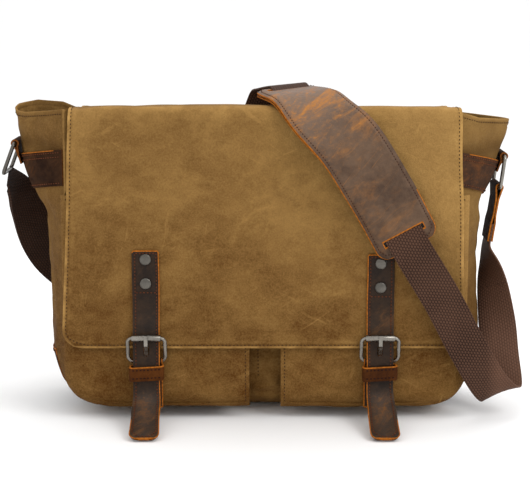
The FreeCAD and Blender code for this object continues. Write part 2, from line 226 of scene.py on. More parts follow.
def thread(name, colour):
    """Waxed sewing thread, with the fibres' twist as fine dark grain."""
    f = Finish(name, roughness=0.7, specular=0.1)
    twist = f.cloud(f.place(), 900.0, 2.0).band(0.3, 0.7)
    f.feed(Base_Color=f.blend(twist, shade(colour, 0.5), colour))
    return f.material


def smooth_noise(points, size, seed):
    """Soft random height at each point; size is the width of a hump in the points' own unit."""
    shift = Vector((seed * 3.1, seed * 7.7, seed * 1.3))
    return np.array([noise.noise(Vector(p) / size + shift) for p in points])


def cut_corners(points, times):
    """A smooth line from a few corner points, by cutting each corner again and again."""
    line = np.array(points, float)
    for _ in range(times):
        near, far = line[:-1] * 0.75 + line[1:] * 0.25, line[:-1] * 0.25 + line[1:] * 0.75
        line = np.vstack([line[:1], np.stack([near, far], 1).reshape(-1, line.shape[1])[1:-1], line[-1:]])
    return line


def along(line, share):
    """Points at each share of a line's length, and the length itself."""
    steps = np.concatenate([[0], np.cumsum(np.linalg.norm(np.diff(line, axis=0), axis=1))])
    at = np.array(share) * steps[-1]
    return np.stack([np.interp(at, steps, line[:, k]) for k in range(line.shape[1])], 1), steps[-1]


def read(elements, key, width=1, kind=float):
    """One property of all the vertices, edges, corners or faces of a mesh, as an array."""
    values = np.empty(len(elements) * width, kind)
    elements.foreach_get(key, values)
    return values.reshape(-1, width) if width > 1 else values


def cloth_sheet(name, columns, rows, place, flat, hole=None, wear=None):
    """A grid laid in space by place(u, v), u from -1 to 1 across and v from 0 to 1 along, in mm.

    flat is the cloth's width and length in metres, for its UV map. hole(u, v) picks the faces to cut
    out, and wear(u, v) gives the attribute that the canvas and the leather read.
    """
    bpy.ops.object.select_all(action="DESELECT")
    bpy.ops.mesh.primitive_grid_add(x_subdivisions=columns, y_subdivisions=rows, size=2.0)
    piece = bpy.context.object
    piece.name = piece.data.name = name
    mesh = piece.data
    grid = read(mesh.vertices, "co", 3)
    u, v = grid[:, 0], (grid[:, 1] + 1) / 2
    corner = read(mesh.loops, "vertex_index", kind=int)
    flat_uv = np.stack([u[corner] * flat[0] / 2, v[corner] * flat[1]], 1)
    mesh.uv_layers[0].data.foreach_set("uv", flat_uv.ravel())
    if hole:
        bpy.ops.object.mode_set(mode="EDIT")
        bpy.ops.mesh.select_all(action="DESELECT")
        bpy.ops.object.mode_set(mode="OBJECT")
        centre = read(mesh.polygons, "center", 3)
        mesh.polygons.foreach_set("select", hole(centre[:, 0], (centre[:, 1] + 1) / 2))
        bpy.ops.object.mode_set(mode="EDIT")
        bpy.ops.mesh.select_mode(type="FACE")
        bpy.ops.mesh.delete(type="FACE")
        bpy.ops.object.mode_set(mode="OBJECT")
        grid = read(mesh.vertices, "co", 3)
        u, v = grid[:, 0], (grid[:, 1] + 1) / 2
    mesh.vertices.foreach_set("co", (place(u, v) * 0.001).ravel())
    if wear:
        mesh.attributes.new("wear", "FLOAT", "POINT").data.foreach_set("value", wear(u, v))
    mesh.update()
    return piece


def pick(piece):
    """Makes a piece the active one and the only one selected."""
    bpy.ops.object.select_all(action="DESELECT")
    piece.select_set(True)
    bpy.context.view_layer.objects.active = piece


def round_edges(piece, width):
    """Takes the sharpness off the picked piece's edges; width in mm."""
    bevel = piece.modifiers.new("edge", "BEVEL")
    bevel.width, bevel.segments, bevel.limit_method = width * 0.001, 2, "ANGLE"
    bevel.angle_limit = math.radians(50)
    bpy.ops.object.modifier_apply(modifier=bevel.name)


def give_body(piece, thick, materials, offset=-1.0, rim=0, round_edge=0.0):
    """Thickness in mm, the materials in order and soft shading; rim picks the cut edge's material."""
    for m in materials:
        piece.data.materials.append(m)
    pick(piece)
    solid = piece.modifiers.new("thickness", "SOLIDIFY")
    solid.thickness, solid.offset, solid.material_offset_rim = thick * 0.001, offset, rim
    solid.use_even_offset = True
    bpy.ops.object.modifier_apply(modifier=solid.name)
    if round_edge:
        round_edges(piece, round_edge)
    bpy.ops.object.shade_smooth_by_angle(angle=math.radians(40))
    return piece


def sew(name, place, route, pitch, material, length=0.62, width=0.55, lift=0.15):
    """A row of stitches on a surface place(u, v), along route's (u, v) corners, as one mesh.

    The pitch, a stitch's width and its lift off the surface are in mm; length is its share of the pitch.
    """
    dense = []
    for a, b in zip(route, route[1:]):
        share = np.linspace(0, 1, 60, endpoint=False)[:, None]
        dense.append(np.array(a) * (1 - share) + np.array(b) * share)
    uv = np.vstack(dense + [np.array([route[-1]])])
    points = place(uv[:, 0], uv[:, 1])
    step = 1e-3
    across = place(uv[:, 0] + step, uv[:, 1]) - place(uv[:, 0] - step, uv[:, 1])
    onward = place(uv[:, 0], uv[:, 1] + step) - place(uv[:, 0], uv[:, 1] - step)
    normal = np.cross(across, onward)
    normal /= np.linalg.norm(normal, axis=1)[:, None] + 1e-9
    _, total = along(points, [0])
    count = max(2, int(total / pitch))
    share = (np.arange(count) + 0.5) / count
    centre, _ = along(points, share)
    ahead, _ = along(points, share + 0.3 / count)
    steps = np.concatenate([[0], np.cumsum(np.linalg.norm(np.diff(points, axis=0), axis=1))])
    up = np.stack([np.interp(share * steps[-1], steps, normal[:, k]) for k in range(3)], 1)
    bpy.ops.object.select_all(action="DESELECT")
    bpy.ops.mesh.primitive_uv_sphere_add(segments=6, ring_count=4, radius=1.0)
    bead = bpy.context.object
    shape = np.array([v.co[:] for v in bead.data.vertices])
    faces = [list(p.vertices) for p in bead.data.polygons]
    bpy.data.objects.remove(bead)
    verts, polys = [], []
    for c, a, n in zip(centre, ahead, up):
        t = (a - c) / (np.linalg.norm(a - c) + 1e-9)
        s = np.cross(n, t)
        s /= np.linalg.norm(s) + 1e-9
        base = len(verts) * len(shape)
        verts.append(c + n * lift + shape[:, :1] * t * pitch * length / 2 + shape[:, 1:2] * s * width / 2
                     + shape[:, 2:] * n * width / 2.4)
        polys += [[i + base for i in p] for p in faces]
    mesh = bpy.data.meshes.new(name)
    mesh.from_pydata((np.vstack(verts) * 0.001).tolist(), [], polys)
    row = bpy.data.objects.new(name, mesh)
    bpy.context.collection.objects.link(row)
    mesh.materials.append(material)
    mesh.polygons.foreach_set("use_smooth", [True] * len(mesh.polygons))
    return row


canvas = waxed_canvas("waxed_canvas", (0.390, 0.226, 0.072), (0.076, 0.027, 0.0032))
hem_thread = thread("hem_thread", (0.060, 0.024, 0.010))

flap_half, flap_left_extra, flap_taper = 198.0, 2.5, 8.0
flap_hem_z, flap_rise = 90.0, 220.0
flap_side = cut_corners([(-73.2, 74), (-73.4, 180), (-73.0, 285), (-72.0, 309), (-63, 313.6), (-30, 310.4),
                         (20, 305.6), (50, 303.4), (58.6, 302.5), (59.0, 296), (58.9, 283)], 4)
flap_side_length = along(flap_side, [0])[1]
flap_corner = 19.0
flap_hem = 6.5


def flap_place(u, v):
    """The flap's face: its side line, rounded lower corners, raised hem, puckers and soft humps."""
    at, length = along(flap_side, np.clip(v, 0, 1))
    up = np.clip((at[:, 1] - flap_hem_z) / flap_rise, 0, 1)
    extra = flap_left_extra * (u < 0)
    half = flap_half + extra - (flap_taper + extra) * up ** 0.8
    low = np.clip(flap_corner - v * length, 0, flap_corner)
    half = half - (flap_corner - np.sqrt(flap_corner ** 2 - low ** 2))
    x = u * half
    edge = np.minimum(np.minimum(half - np.abs(x), v * length), 60.0)
    points = np.stack([x, at[:, 0], at[:, 1]], 1)
    on_front = np.clip((-at[:, 0] - 55) / 15, 0, 1)
    hump = smooth_noise(points, 95.0, 1) * 2.6 + smooth_noise(points, 38.0, 2) * 0.9
    pucker = smooth_noise(points, 9.0, 3) * 0.45 * np.clip(1 - edge / 16, 0, 1)
    hem = 0.45 * np.clip((flap_hem - edge) / 1.2 + 0.5, 0, 1) * np.clip(edge / 1.2, 0, 1)
    groove = -0.35 * np.exp(-((edge - 3.1) / 0.7) ** 2)
    out = hump * np.clip(edge / 30, 0.25, 1) + pucker + hem + groove
    points[:, 1] -= out * on_front
    points[:, 2] += (out + 0.6) * (1 - on_front) * np.clip((55 - at[:, 0]) / 20, 0, 1)
    points[:, 0] += smooth_noise(points, 60.0, 5) * 1.2 * np.clip(1 - edge / 20, 0, 1)
    crown = np.clip(1 - (u / 0.97) ** 10, 0, 1)
    points[:, 2] += -2.2 * (1 - crown) * np.clip((at[:, 1] - 296) / 14, 0, 1) * (at[:, 0] < 40)
    return points


def flap_wear(u, v):
    """Rubbed pale along the hem's edge and ridge, with painted shade in the stitch groove."""
    at, length = along(flap_side, v)
    half = flap_half - flap_taper * np.clip((at[:, 1] - flap_hem_z) / flap_rise, 0, 1) ** 0.8
    edge = np.minimum(half * (1 - np.abs(u)), v * length)
    points = np.stack([u * half, at[:, 0], at[:, 1]], 1)
    rub = 0.45 + 0.5 * smooth_noise(points, 14.0, 6)
    ridge = np.exp(-((edge - 0.8) / 1.5) ** 2) * 1.15 + np.exp(-((edge - 6.4) / 1.6) ** 2) * 0.15
    crest = 0.30 * np.exp(-((at[:, 0] + 66) / 5.0) ** 2) * (at[:, 1] > 300)
    # The last term is painted shade in the stitch groove.
    return ridge * rub + crest - 0.35 * np.exp(-((edge - 3.1) / 0.6) ** 2)


flap = cloth_sheet("flap", 200, 230, flap_place, (0.396, flap_side_length * 0.001), wear=flap_wear)
give_body(flap, 1.8, [canvas], round_edge=0.5)
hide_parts("flap_shell", "flap_seam_strip")
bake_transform(flap)

side_u = 1 - 3.2 / 196.0
right_route = [(side_u, 300 / flap_side_length), (side_u, flap_corner / flap_side_length),
               (side_u - 0.006, 10 / flap_side_length), (side_u - 0.032, 5.6 / flap_side_length),
               (side_u - 0.07, 3.2 / flap_side_length)]
flap_route = [(-u, v) for u, v in right_route] + right_route[::-1]
flap_stitches = sew("flap_stitches", flap_place, flap_route, 3.7, hem_thread, 0.60, 1.0, 0.30)
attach(flap_stitches, "flap")


flap_lining_start, flap_lining_end = 0.02, 0.80


def flap_lining_place(u, v):
    """Just under the flap: behind its front and below its top."""
    points = flap_place(u * 0.975, flap_lining_start + v * (flap_lining_end - flap_lining_start))
    on_front = np.clip((-points[:, 1] - 55) / 15, 0, 1)
    points[:, 1] += 2.2 * on_front
    points[:, 2] -= 2.4 * (1 - on_front)
    return points


def lining_cloth(name, colour):
    """Thin plain-woven lining cotton with a dry, slightly uneven dye."""
    f = Finish(name, roughness=0.85, specular=0.2)
    at = f.place()
    dye = f.cloud(at, 25.0, 3.0).band(0.3, 0.7) * 0.4 + f.cloud(at, 800.0, 2.0).band(0.3, 0.7) * 0.6
    f.feed(Base_Color=f.blend(dye, shade(colour, 0.6), colour), Normal=f.relief(dye, 0.0003, 0.4))
    return f.material


lining_fabric = lining_cloth("lining_fabric", (0.115, 0.085, 0.055))
flap_lining = cloth_sheet("flap_lining_cloth", 60, 90, flap_lining_place, (0.386, 0.29))
give_body(flap_lining, 0.7, [lining_fabric])
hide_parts("flap_lining")
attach(flap_lining, "flap")


# The body panels: front, back and base, cut from the same canvas. The front panel's sides are
# turned into a raised double seam where they meet the gussets; the lower corners are rounded.
body_corner = 45.0
seam_out = 201.0
front_face, back_face = -46.0, 56.0
panel_foot, front_height, back_height = 1.2, 305.0, 297.0


def tucked(z, side):
    """How far the side seams draw in above the pockets: on the right the flap's edge covers them."""
    step = np.clip((z - 217) / 14, 0, 1)
    return np.where(side > 0, 10.5, 3.5) * step * step * (3 - 2 * step)


def seam_half(z, side=1):
    low = np.clip(body_corner - z, 0, body_corner - 1)
    return seam_out - tucked(z, side) - (body_corner - np.sqrt(body_corner ** 2 - low ** 2))


def curl(z):
    """How far the lower front is rounded back, in mm."""
    low = np.clip(1 - z / 34.0, 0, 1)
    return 46.0 * (1 - np.sqrt(1 - low ** 2))


def fullness(x, z):
    """How far the front is pushed forward at the margins and above the pockets, in mm."""
    aside = np.clip((np.abs(x) - 186) / 7, 0, 1)
    above = np.clip((z - 224) / 14, 0, 1)
    both = np.maximum(aside, above) * np.clip((z - 8) / 40, 0, 1)
    return 12.0 * both * both * (3 - 2 * both)


def front_place(u, v):
    """The front, with raised side seams, a rounded foot and tucks between the pockets."""
    z = panel_foot + v * (front_height + 3.0 * np.abs(u) ** 8)
    half = seam_half(z, u)
    x = u * half
    edge = half - np.abs(x)
    points = np.stack([x, front_face - fullness(x, z), z], 1)
    soft = smooth_noise(points, 60.0, 11) * 1.8 + smooth_noise(points, 16.0, 12) * 0.5
    seam = 1.7 * np.exp(-((edge - 2.6) / 2.0) ** 2) - 0.6 * np.exp(-((edge - 6.4) / 0.8) ** 2)
    between = np.clip(1 - (np.abs(x) / 15) ** 4, 0, 1) * (np.abs(x) < 15)
    tuck = 5.5 * np.exp(-((z - 29 - 0.25 * x) / 4.5) ** 2) + 3.0 * np.exp(-((z - 15 + 0.3 * x) / 4.0) ** 2)
    points[:, 1] -= soft * np.clip(z / 40, 0, 1) * 0.6 + seam + tuck * between
    points[:, 1] += curl(z)
    return points


def front_wear(u, v):
    """Rubbed along the raised seams, painted shade in their stitch groove, a little paler between the
    pockets.
    """
    z = panel_foot + v * front_height
    half = seam_half(z, u)
    edge = half * (1 - np.abs(u))
    points = np.stack([u * half, z * 0, z], 1)
    rub = 0.4 + 0.5 * smooth_noise(points, 14.0, 16)
    gap = np.exp(-(u * half / 16) ** 6)
    ridge = np.exp(-((edge - 1.6) / 1.4) ** 2) * 0.7
    # The stitch groove term is painted shade.
    return ridge * rub - 0.5 * np.exp(-((edge - 6.4) / 0.7) ** 2) + 0.12 * gap


def back_place(u, v):
    """The plain soft back, whose foot turns in."""
    z = panel_foot + v * back_height
    half = seam_half(z, -u)
    x = -u * half
    points = np.stack([x, np.full_like(z, back_face), z], 1)
    edge = half - np.abs(x)
    soft = smooth_noise(points, 80.0, 13) * 2.2 + smooth_noise(points, 22.0, 14) * 0.6
    points[:, 1] += soft * np.clip(edge / 25, 0.1, 1) * np.clip((285 - z) / 30, 0, 1) - 0.8
    points[:, 1] += 1.5 * np.exp(-((edge - 2.6) / 2.0) ** 2)
    points[:, 1] -= np.clip(24 - z, 0, 24) ** 2 / 60
    return points


def base_place(u, v):
    """The base, a little turned up at both ends."""
    y = 47.0 - v * 59.0
    half = seam_half(np.full_like(y, 2.5))
    x = u * half
    points = np.stack([x, y, np.full_like(y, 0.5)], 1)
    upturn = 1.4 * np.clip(np.abs(u) - 0.95, 0, 1) * 20
    points[:, 2] += 0.3 + 0.5 * smooth_noise(points, 40.0, 15) ** 2 + upturn
    return points


front_panel = cloth_sheet("front_panel_cloth", 190, 130, front_place, (0.402, 0.305), wear=front_wear)
give_body(front_panel, 1.6, [canvas])
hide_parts("front_panel")
back_panel = cloth_sheet("back_panel_cloth", 100, 90, back_place, (0.402, 0.297))
give_body(back_panel, 1.6, [canvas])
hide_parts("back_panel")
base_panel = cloth_sheet("base_cloth", 60, 20, base_place, (0.33, 0.085))
give_body(base_panel, 1.2, [canvas])
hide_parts("base_panel")
for panel in (front_panel, back_panel, base_panel):
    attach(panel, "bag")
seam_stitch = (3.6, hem_thread, 0.58, 1.15, 0.30)
for name, seam_u, low_v in (("front_seam_stitches_left", -1 + 6.6 / seam_out, 0.20),
                            ("front_pocket_seam_stitches_left", -7.0 / seam_out, 0.12),
                            ("front_seam_stitches_right", 1 - 6.6 / seam_out, 0.20)):
    seam_row = sew(name, front_place, [(seam_u, low_v), (seam_u, 0.985)], *seam_stitch)
    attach(seam_row, "bag")


# The side gussets: one soft canvas strip each side. It pinches in under the ring band, flares
# into an open ear at the top and has a stitched hem round the ear's mouth.
gusset_shapes = {
    "left": {"side": -1, "z": (0, 18, 30, 63, 90, 130, 180, 206, 222, 240, 260, 285, 320),
             "out": (0, 2, 10, 20, 21, 20.5, 22, 24, 34, 42, 48, 52, 56),
             "top": (309, 306, 303, 303.5, 306.5, 310, 312.5, 309, 302)},
    "right": {"side": 1, "z": (0, 18, 30, 63, 90, 130, 160, 180, 198, 211, 222, 238, 251, 268, 285, 320),
              "out": (0, 2, 10, 20, 21, 19, 17.5, 18.5, 21, 17, 23, 32, 37, 43, 47, 52),
              "top": (306, 299.5, 296.5, 295.5, 295, 295.5, 296.5, 298, 299)},
}
gusset_front, gusset_back = -45.0, 55.0
# "out" is how far a strip stands out at each height z, and "top" its mouth's height at these shares
# of the way from front to back.
top_shares = (0, 0.15, 0.35, 0.46, 0.5, 0.55, 0.72, 0.9, 1)


def gusset_point(shape, share, z, lift=0.0):
    """A point of the gusset: share runs from the front seam to the back seam, lift is outwards."""
    side = shape["side"]
    out = np.mean([np.interp(z + d, shape["z"], shape["out"]) for d in np.linspace(-5, 5, 5)], 0)
    open_up = np.clip((z - 215) / 85, 0, 1)
    power = 2.3 - 1.05 * open_up
    bow = 1 - np.abs(2 * share - 1) ** power
    x = seam_half(z, side) + (out + tucked(z, side) - 3.0) * bow + lift * (0.35 + 0.65 * bow)
    front = gusset_front - 10.5 * np.clip((z - 8) / 40, 0, 1) + curl(z)
    y = front + (gusset_back - front) * share
    points = np.stack([side * x, y, z], 1)
    calm = np.clip(np.minimum(share, 1 - share) * 6, 0, 1)
    folds = smooth_noise(points * np.array([1, 1.6, 0.45]), 20.0, 21 + side) * 2.4
    folds += smooth_noise(points, 11.0, 24 + side) * 0.7
    pinch = np.exp(-((z - 206) / 14) ** 2) * np.sin(share * 30) * 0.9
    dent = 4.5 * np.exp(-((z - 266 - 26 * share) / 8.0) ** 2)
    pinch -= dent * np.clip(np.abs(6 * share - 3) - 0.5, 0, 1) * (lift < 1.5)
    points[:, 0] += side * (folds + pinch) * calm * (1 - 0.7 * (lift > 0))
    points[:, 1] += lift * (share - 0.5) * 1.2
    return points


for name, shape in gusset_shapes.items():
    def gusset_place(u, v, shape=shape):
        share = (u * shape["side"] + 1) / 2
        top = np.interp(share, top_shares, shape["top"])
        hem = 0.7 * np.clip((7 - (1 - v) * 300) / 1.2 + 0.5, 0, 1)
        return gusset_point(shape, share, 1.5 + v * (top - 1.5), hem)

    def gusset_wear(u, v, side=shape["side"]):
        share = (u * side + 1) / 2
        from_top = (1 - v) * 303
        points = np.stack([share * 100, v * 300, u * 0], 1)
        rub = 0.4 + 0.6 * smooth_noise(points, 18.0, 26)
        # The hem's stitch groove is painted darker as shade.
        hem = 0.75 * np.exp(-(from_top / 1.6) ** 2) - 0.35 * np.exp(-((from_top - 4.6) / 0.7) ** 2)
        # Pale patches are painted highlights on the ear's folds.
        folds = 0.35 * np.clip(smooth_noise(points * np.array([1, 0.5, 1]), 14.0, 27) - 0.15, 0, 1)
        # A band of painted shade follows the dent in the ear.
        dip = 0.30 * np.exp(-((v * 303 - 264 - 26 * share) / 9.0) ** 2)
        # Both gussets are painted darker all over as shade, the right one more.
        return hem * rub * 1.3 + folds - dip - (0.42 if side > 0 else 0.22)

    gusset = cloth_sheet("gusset_cloth_" + name, 72, 200, gusset_place, (0.12, 0.305), wear=gusset_wear)
    give_body(gusset, 1.6, [canvas], round_edge=0.3)
    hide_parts("gusset_" + name)
    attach(gusset, "bag")
    mouth_row = sew("ear_stitches_" + name, gusset_place, [(-0.99, 0.985), (0.99, 0.985)], 3.4, hem_thread,
                    0.62, 0.95, 0.25)
    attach(mouth_row, "bag")


# Leather: thick oiled hide that pales where it is bent or rubbed. Its cut edges are raw and
# orange. Two patches cap the lower ends of the gussets and a band crosses each under the ear.
def oiled_leather(name, dark, light, scuff, wear=0.25, dull=0.5):
    """Oiled hide, dull from 0 to 1; its wear attribute pales it where it bends or is polished, and where a
    sheen is painted on the straps' tongues.
    """
    f = Finish(name, roughness=dull, specular=max(0.03, 0.32 - 0.34 * dull))
    at = f.place()
    cloudy = f.cloud(at, 28.0, 4.0, 0.6, 0.6).band(0.32, 0.70)
    fine = f.cloud(at, 160.0, 3.0, 0.65).band(0.3, 0.72)
    colour = f.blend(cloudy * 0.6 + fine * 0.35, dark, light)
    drawn = f.stretched(f.stretched(at, (1, 1, 1), (0.2, 0.7, 0.3)), (1.0, 1.0, 3.0))
    rub = f.cloud(drawn, 24.0, 7.0, 0.70, 1.2).band(0.44, 0.80)
    where = f.cloud(f.stretched(at, (1, 1, 1), (0, 0, 0), (0.3, 0.1, 0.05)), 14.0, 2.0, 0.5).band(0.40, 0.62)
    bent_and_painted_sheen = f.node("ShaderNodeAttribute", {"attribute_name": "wear"}, {}, "Fac")
    speck = f.cloud(at, 330.0, 3.0, 0.7).band(0.50, 0.74)
    scratch_at = f.stretched(f.stretched(at, (1, 1, 1), (0.1, 0.9, 0.2)), (18.0, 18.0, 420.0))
    scratch = f.cloud(scratch_at, 1.0, 2.0, 0.5, 0.3).band(0.68, 0.78)
    rubbed = rub * where * wear * 2.4 + (rub * 0.9 + speck * 0.35) * bent_and_painted_sheen
    worn = (rubbed + scratch * 0.22 + speck * rub * 0.25).clamped()
    # Paler where the wear attribute is set: bend wear, and a painted sheen on the straps' tongues.
    colour = f.blend(bent_and_painted_sheen.clamped(0.60), colour, tuple(1.2 * c + 0.025 for c in light))
    colour = f.blend(worn, colour, scuff)
    pore = f.node("ShaderNodeTexVoronoi", {"feature": "F1"}, {"Vector": at, "Scale": 1100.0}, "Distance")
    f.feed(Base_Color=colour, Roughness=dull - 0.04 + cloudy * 0.12 + worn * 0.15,
           Normal=f.relief(pore * 0.5 + fine * 0.9 + cloudy * 0.8, 0.0005, 0.5))
    return f.material


def raw_edge(name, colour):
    """The fibrous cut edge of undyed or brown hide."""
    f = Finish(name, roughness=0.85, specular=0.1)
    fibre = f.cloud(f.place(), 420.0, 4.0, 0.7).band(0.3, 0.7)
    f.feed(Base_Color=f.blend(fibre, shade(colour, 0.45), colour), Normal=f.relief(fibre, 0.0004, 0.6))
    return f.material


def paint_border(piece, where=None):
    """Gives the faces along a sheet's open edges the second material, where where(x, y, z) in mm is true."""
    mesh = piece.data
    corner_edge = read(mesh.loops, "edge_index", kind=int)
    corner_vertex = read(mesh.loops, "vertex_index", kind=int)
    open_edge = np.bincount(corner_edge, minlength=len(mesh.edges)) == 1
    rim_vertex = np.zeros(len(mesh.vertices), bool)
    rim_vertex[read(mesh.edges, "vertices", 2, int)[open_edge].ravel()] = True
    first = read(mesh.polygons, "loop_start", kind=int)
    rim_face = np.add.reduceat(rim_vertex[corner_vertex].astype(int), first) > 0
    if where:
        rim_face &= where(*(read(mesh.polygons, "center", 3) * 1000).T)
    mesh.polygons.foreach_set("material_index", rim_face.astype(int))


dark_leather = oiled_leather("dark_leather", (0.010, 0.0055, 0.0035), (0.036, 0.019, 0.0095),
                             (0.17, 0.068, 0.018), 0.16)
band_leather = oiled_leather("band_leather", (0.016, 0.007, 0.004), (0.054, 0.025, 0.012),
                             (0.20, 0.07, 0.018), 0.20, 0.82)
edge_orange = raw_edge("edge_orange", (0.44, 0.135, 0.014))
edge_brown = raw_edge("edge_brown", (0.24, 0.075, 0.014))
leather_thread = thread("leather_thread", (0.17, 0.052, 0.020))
leather_stitch = (3.3, leather_thread, 0.62, 1.1, 0.35)

patch_foot, patch_height = 3.0, 60.0
band_shapes = {"left": {"z": (224, 260), "rise": 10.0}, "right": {"z": (218, 252), "rise": 15.0}}
for name, shape in gusset_shapes.items():
    def patch_place(u, v, shape=shape):
        share = (u * shape["side"] * 0.72 + 1) / 2
        height = patch_height + 8.0 * np.abs(2 * share - 1) ** 3
        return gusset_point(shape, share, patch_foot + v * height, 1.9)

    patch = cloth_sheet("base_patch_leather_" + name, 50, 44, patch_place, (0.12, 0.062))
    paint_border(patch, lambda x, y, z: z > 58)
    give_body(patch, 1.7, [band_leather, edge_orange, edge_brown], rim=2, round_edge=0.3)
    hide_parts("base_patch_" + name)
    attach(patch, "bag")
    patch_row = sew("base_patch_stitches_" + name, patch_place, [(-0.96, 0.94), (0.96, 0.94)], 3.4,
                    leather_thread, 0.62, 1.1, 0.35)

    low, high = band_shapes[name]["z"]
    rise = band_shapes[name]["rise"]
    rubbed_band = 0.35 if shape["side"] > 0 else 0.0

    def band_place(u, v, shape=shape, low=low, high=high, rise=rise):
        share = (u * shape["side"] * 0.995 + 1) / 2
        return gusset_point(shape, share, low + v * (high - low) + rise * np.abs(2 * share - 1) ** 1.3, 2.4)

    band = cloth_sheet("ring_band_leather_" + name, 70, 34, band_place, (0.15, 0.036),
                       wear=lambda u, v, rubbed=rubbed_band: np.full(len(u), rubbed))
    orange_from = (low + high) / 2 + 6
    paint_border(band, lambda x, y, z, above=orange_from: (z > above) & (y > gusset_front - 6))
    give_body(band, 1.8, [band_leather, edge_orange, edge_brown], rim=2, round_edge=0.3)
    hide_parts("ring_band_" + name)
    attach(band, "bag")
    rows = [sew("ring_band_stitches_%s_%d" % (name, i), band_place, [(-0.97, v), (0.97, v)], *leather_stitch)
            for i, v in enumerate((0.08, 0.92, 0.80))]
    for row in rows + [patch_row]:
        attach(row, "bag")


# The front pockets: two flat canvas pockets side by side under the flap, each with a stitched
# front and a narrow bellows strip round its sides and bottom.
pocket_face = -68.2
pocket_low, pocket_high = 10.5, 226.0
pocket_near, pocket_far = 15.5, 200.6
pocket_round = 40.0
bellows_middle, bellows_half, bellows_dip = -56.0, 10.2, 3.5
for name, side in (("left", -1), ("right", 1)):
    def pocket_place(u, v, side=side):
        """A pocket's front: full at its foot, flat where the flap holds it."""
        z = pocket_low + v * (pocket_high - pocket_low)
        low = np.clip(pocket_round - (z - pocket_low), 0, pocket_round)
        far = pocket_far - (pocket_round - np.sqrt(pocket_round ** 2 - low ** 2)) * 0.95
        share = (u * side + 1) / 2
        x = side * (pocket_near + share * (far - pocket_near))
        points = np.stack([x, np.full_like(z, pocket_face), z], 1)
        free = np.maximum(np.clip((74 - z) / 16, 0, 1), np.clip((np.abs(x) - 190) / 8, 0, 0.3))
        soft = smooth_noise(points * np.array([1, 1, 0.7]), 34.0, 31 + side) * 3.0
        soft += smooth_noise(points * np.array([0.6, 1, 1.3]), 13.0, 33 + side) * 1.5
        edge = np.minimum((z - pocket_low), np.minimum(share, 1 - share) * (far - pocket_near))
        near_edge = share * (far - pocket_near)
        full = 2.6 * np.sin(np.clip((z - pocket_low) / 70, 0, 1) * math.pi) * np.clip(edge / 14, 0, 1)
        groove = 0.5 * np.exp(-((near_edge - 4.0) / 0.8) ** 2)
        tuck = np.clip(16 - (z - pocket_low), 0, 16) ** 2 / 26
        tuck += np.clip(9 - (1 - share) * (far - pocket_near), 0, 9) ** 2 / 14
        points[:, 1] -= (full * 0.8 + soft * np.clip(edge / 20, 0, 1)) * free - groove - tuck * 0.9
        uneven = smooth_noise(points * np.array([1, 0, 0]), 45.0, 37) * 2.0
        points[:, 2] += uneven * np.clip(1 - (z - pocket_low) / 40, 0, 1)
        return points

    pocket = cloth_sheet("pocket_cloth_" + name, 100, 110, pocket_place, (0.18, 0.2145))
    give_body(pocket, 1.6, [canvas], round_edge=0.3)
    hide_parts("pocket_face_" + name)
    near = -0.955 * side
    pocket_row = sew("pocket_stitches_" + name, pocket_place, [(near, 0.03), (near, 0.98), (-near, 0.98)],
                     *seam_stitch)
    u_path = [(18, 226), (18, 30), (20, 17), (34, 14.5), (155, 14.5), (180, 24), (193, 46), (196, 226)]
    u_path = cut_corners([(side * x, z) for x, z in u_path][::side], 3)

    def bellows_place(u, v, u_path=u_path, side=side):
        """The strip round a pocket, folded in along its middle."""
        at, _ = along(u_path, v)
        inward = np.array([side * 105, 120.0]) - at
        inward /= np.linalg.norm(inward, axis=1)[:, None]
        dip = bellows_dip * (1 - u ** 2)[:, None] * inward
        return np.stack([at[:, 0] + dip[:, 0], bellows_middle - u * bellows_half, at[:, 1] + dip[:, 1]], 1)

    bellows = cloth_sheet("pocket_bellows_cloth_" + name, 10, 120, bellows_place, (0.022, 0.56))
    give_body(bellows, 1.2, [canvas], offset=0)
    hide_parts("pocket_bellows_" + name)
    for piece in (pocket, pocket_row, bellows):
        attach(piece, "bag")


# Inside: a loose cotton lining that follows the panels and gussets, a stiff board under it and
# a quilted foam divider that keeps a laptop apart at the back.
lining_foot, lining_height, lining_inset = 6.2, 286.0, 7.0


def lining_place(u, v):
    """Once round the inside with the seam at the left: front, right side, back, left side."""
    t = (u + 1) / 2
    z = np.where(v < 0.06, lining_foot, lining_foot + (v - 0.06) / 0.94 * lining_height)
    shrink = np.where(v < 0.06, v / 0.06, 1.0)
    half = seam_half(z) - lining_inset
    bulge = np.interp(z, (6, 60, 200, 215, 290), (6, 14, 14, 10, 32))
    front, back = -43.0 + curl(z), 53.0 - curl(z) * 0.4
    span = [0, 0.4, 0.5, 0.9, 1.0]
    s_right, s_left = np.clip((t - 0.4) / 0.1, 0, 1), np.clip((t - 0.9) / 0.1, 0, 1)
    x = np.interp(t, span, [-1, 1, 1, -1, -1]) * half
    x += np.where((t > 0.4) & (t < 0.5), bulge * (1 - (2 * s_right - 1) ** 2), 0)
    x -= np.where(t > 0.9, bulge * (1 - (2 * s_left - 1) ** 2), 0)
    y = front + (back - front) * np.interp(t, span, [0, 0, 1, 1, 0])
    points = np.stack([x * np.maximum(shrink, 0.02), 5 + (y - 5) * np.maximum(shrink, 0.02), z], 1)
    points[:, 1] += smooth_noise(points, 40.0, 41) * 0.7 * (v > 0.1)
    return points


lining = cloth_sheet("lining_cloth_inside", 200, 60, lining_place, (0.98, 0.29))
bpy.ops.object.mode_set(mode="EDIT")
bpy.ops.mesh.select_all(action="SELECT")
bpy.ops.mesh.remove_doubles(threshold=0.0002)
bpy.ops.object.mode_set(mode="OBJECT")
give_body(lining, 0.6, [lining_fabric])
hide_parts("lining")


divider_half, divider_foot, divider_height, divider_face = 188.0, 8.0, 242.0, 28.8
quilt_size = 22.0


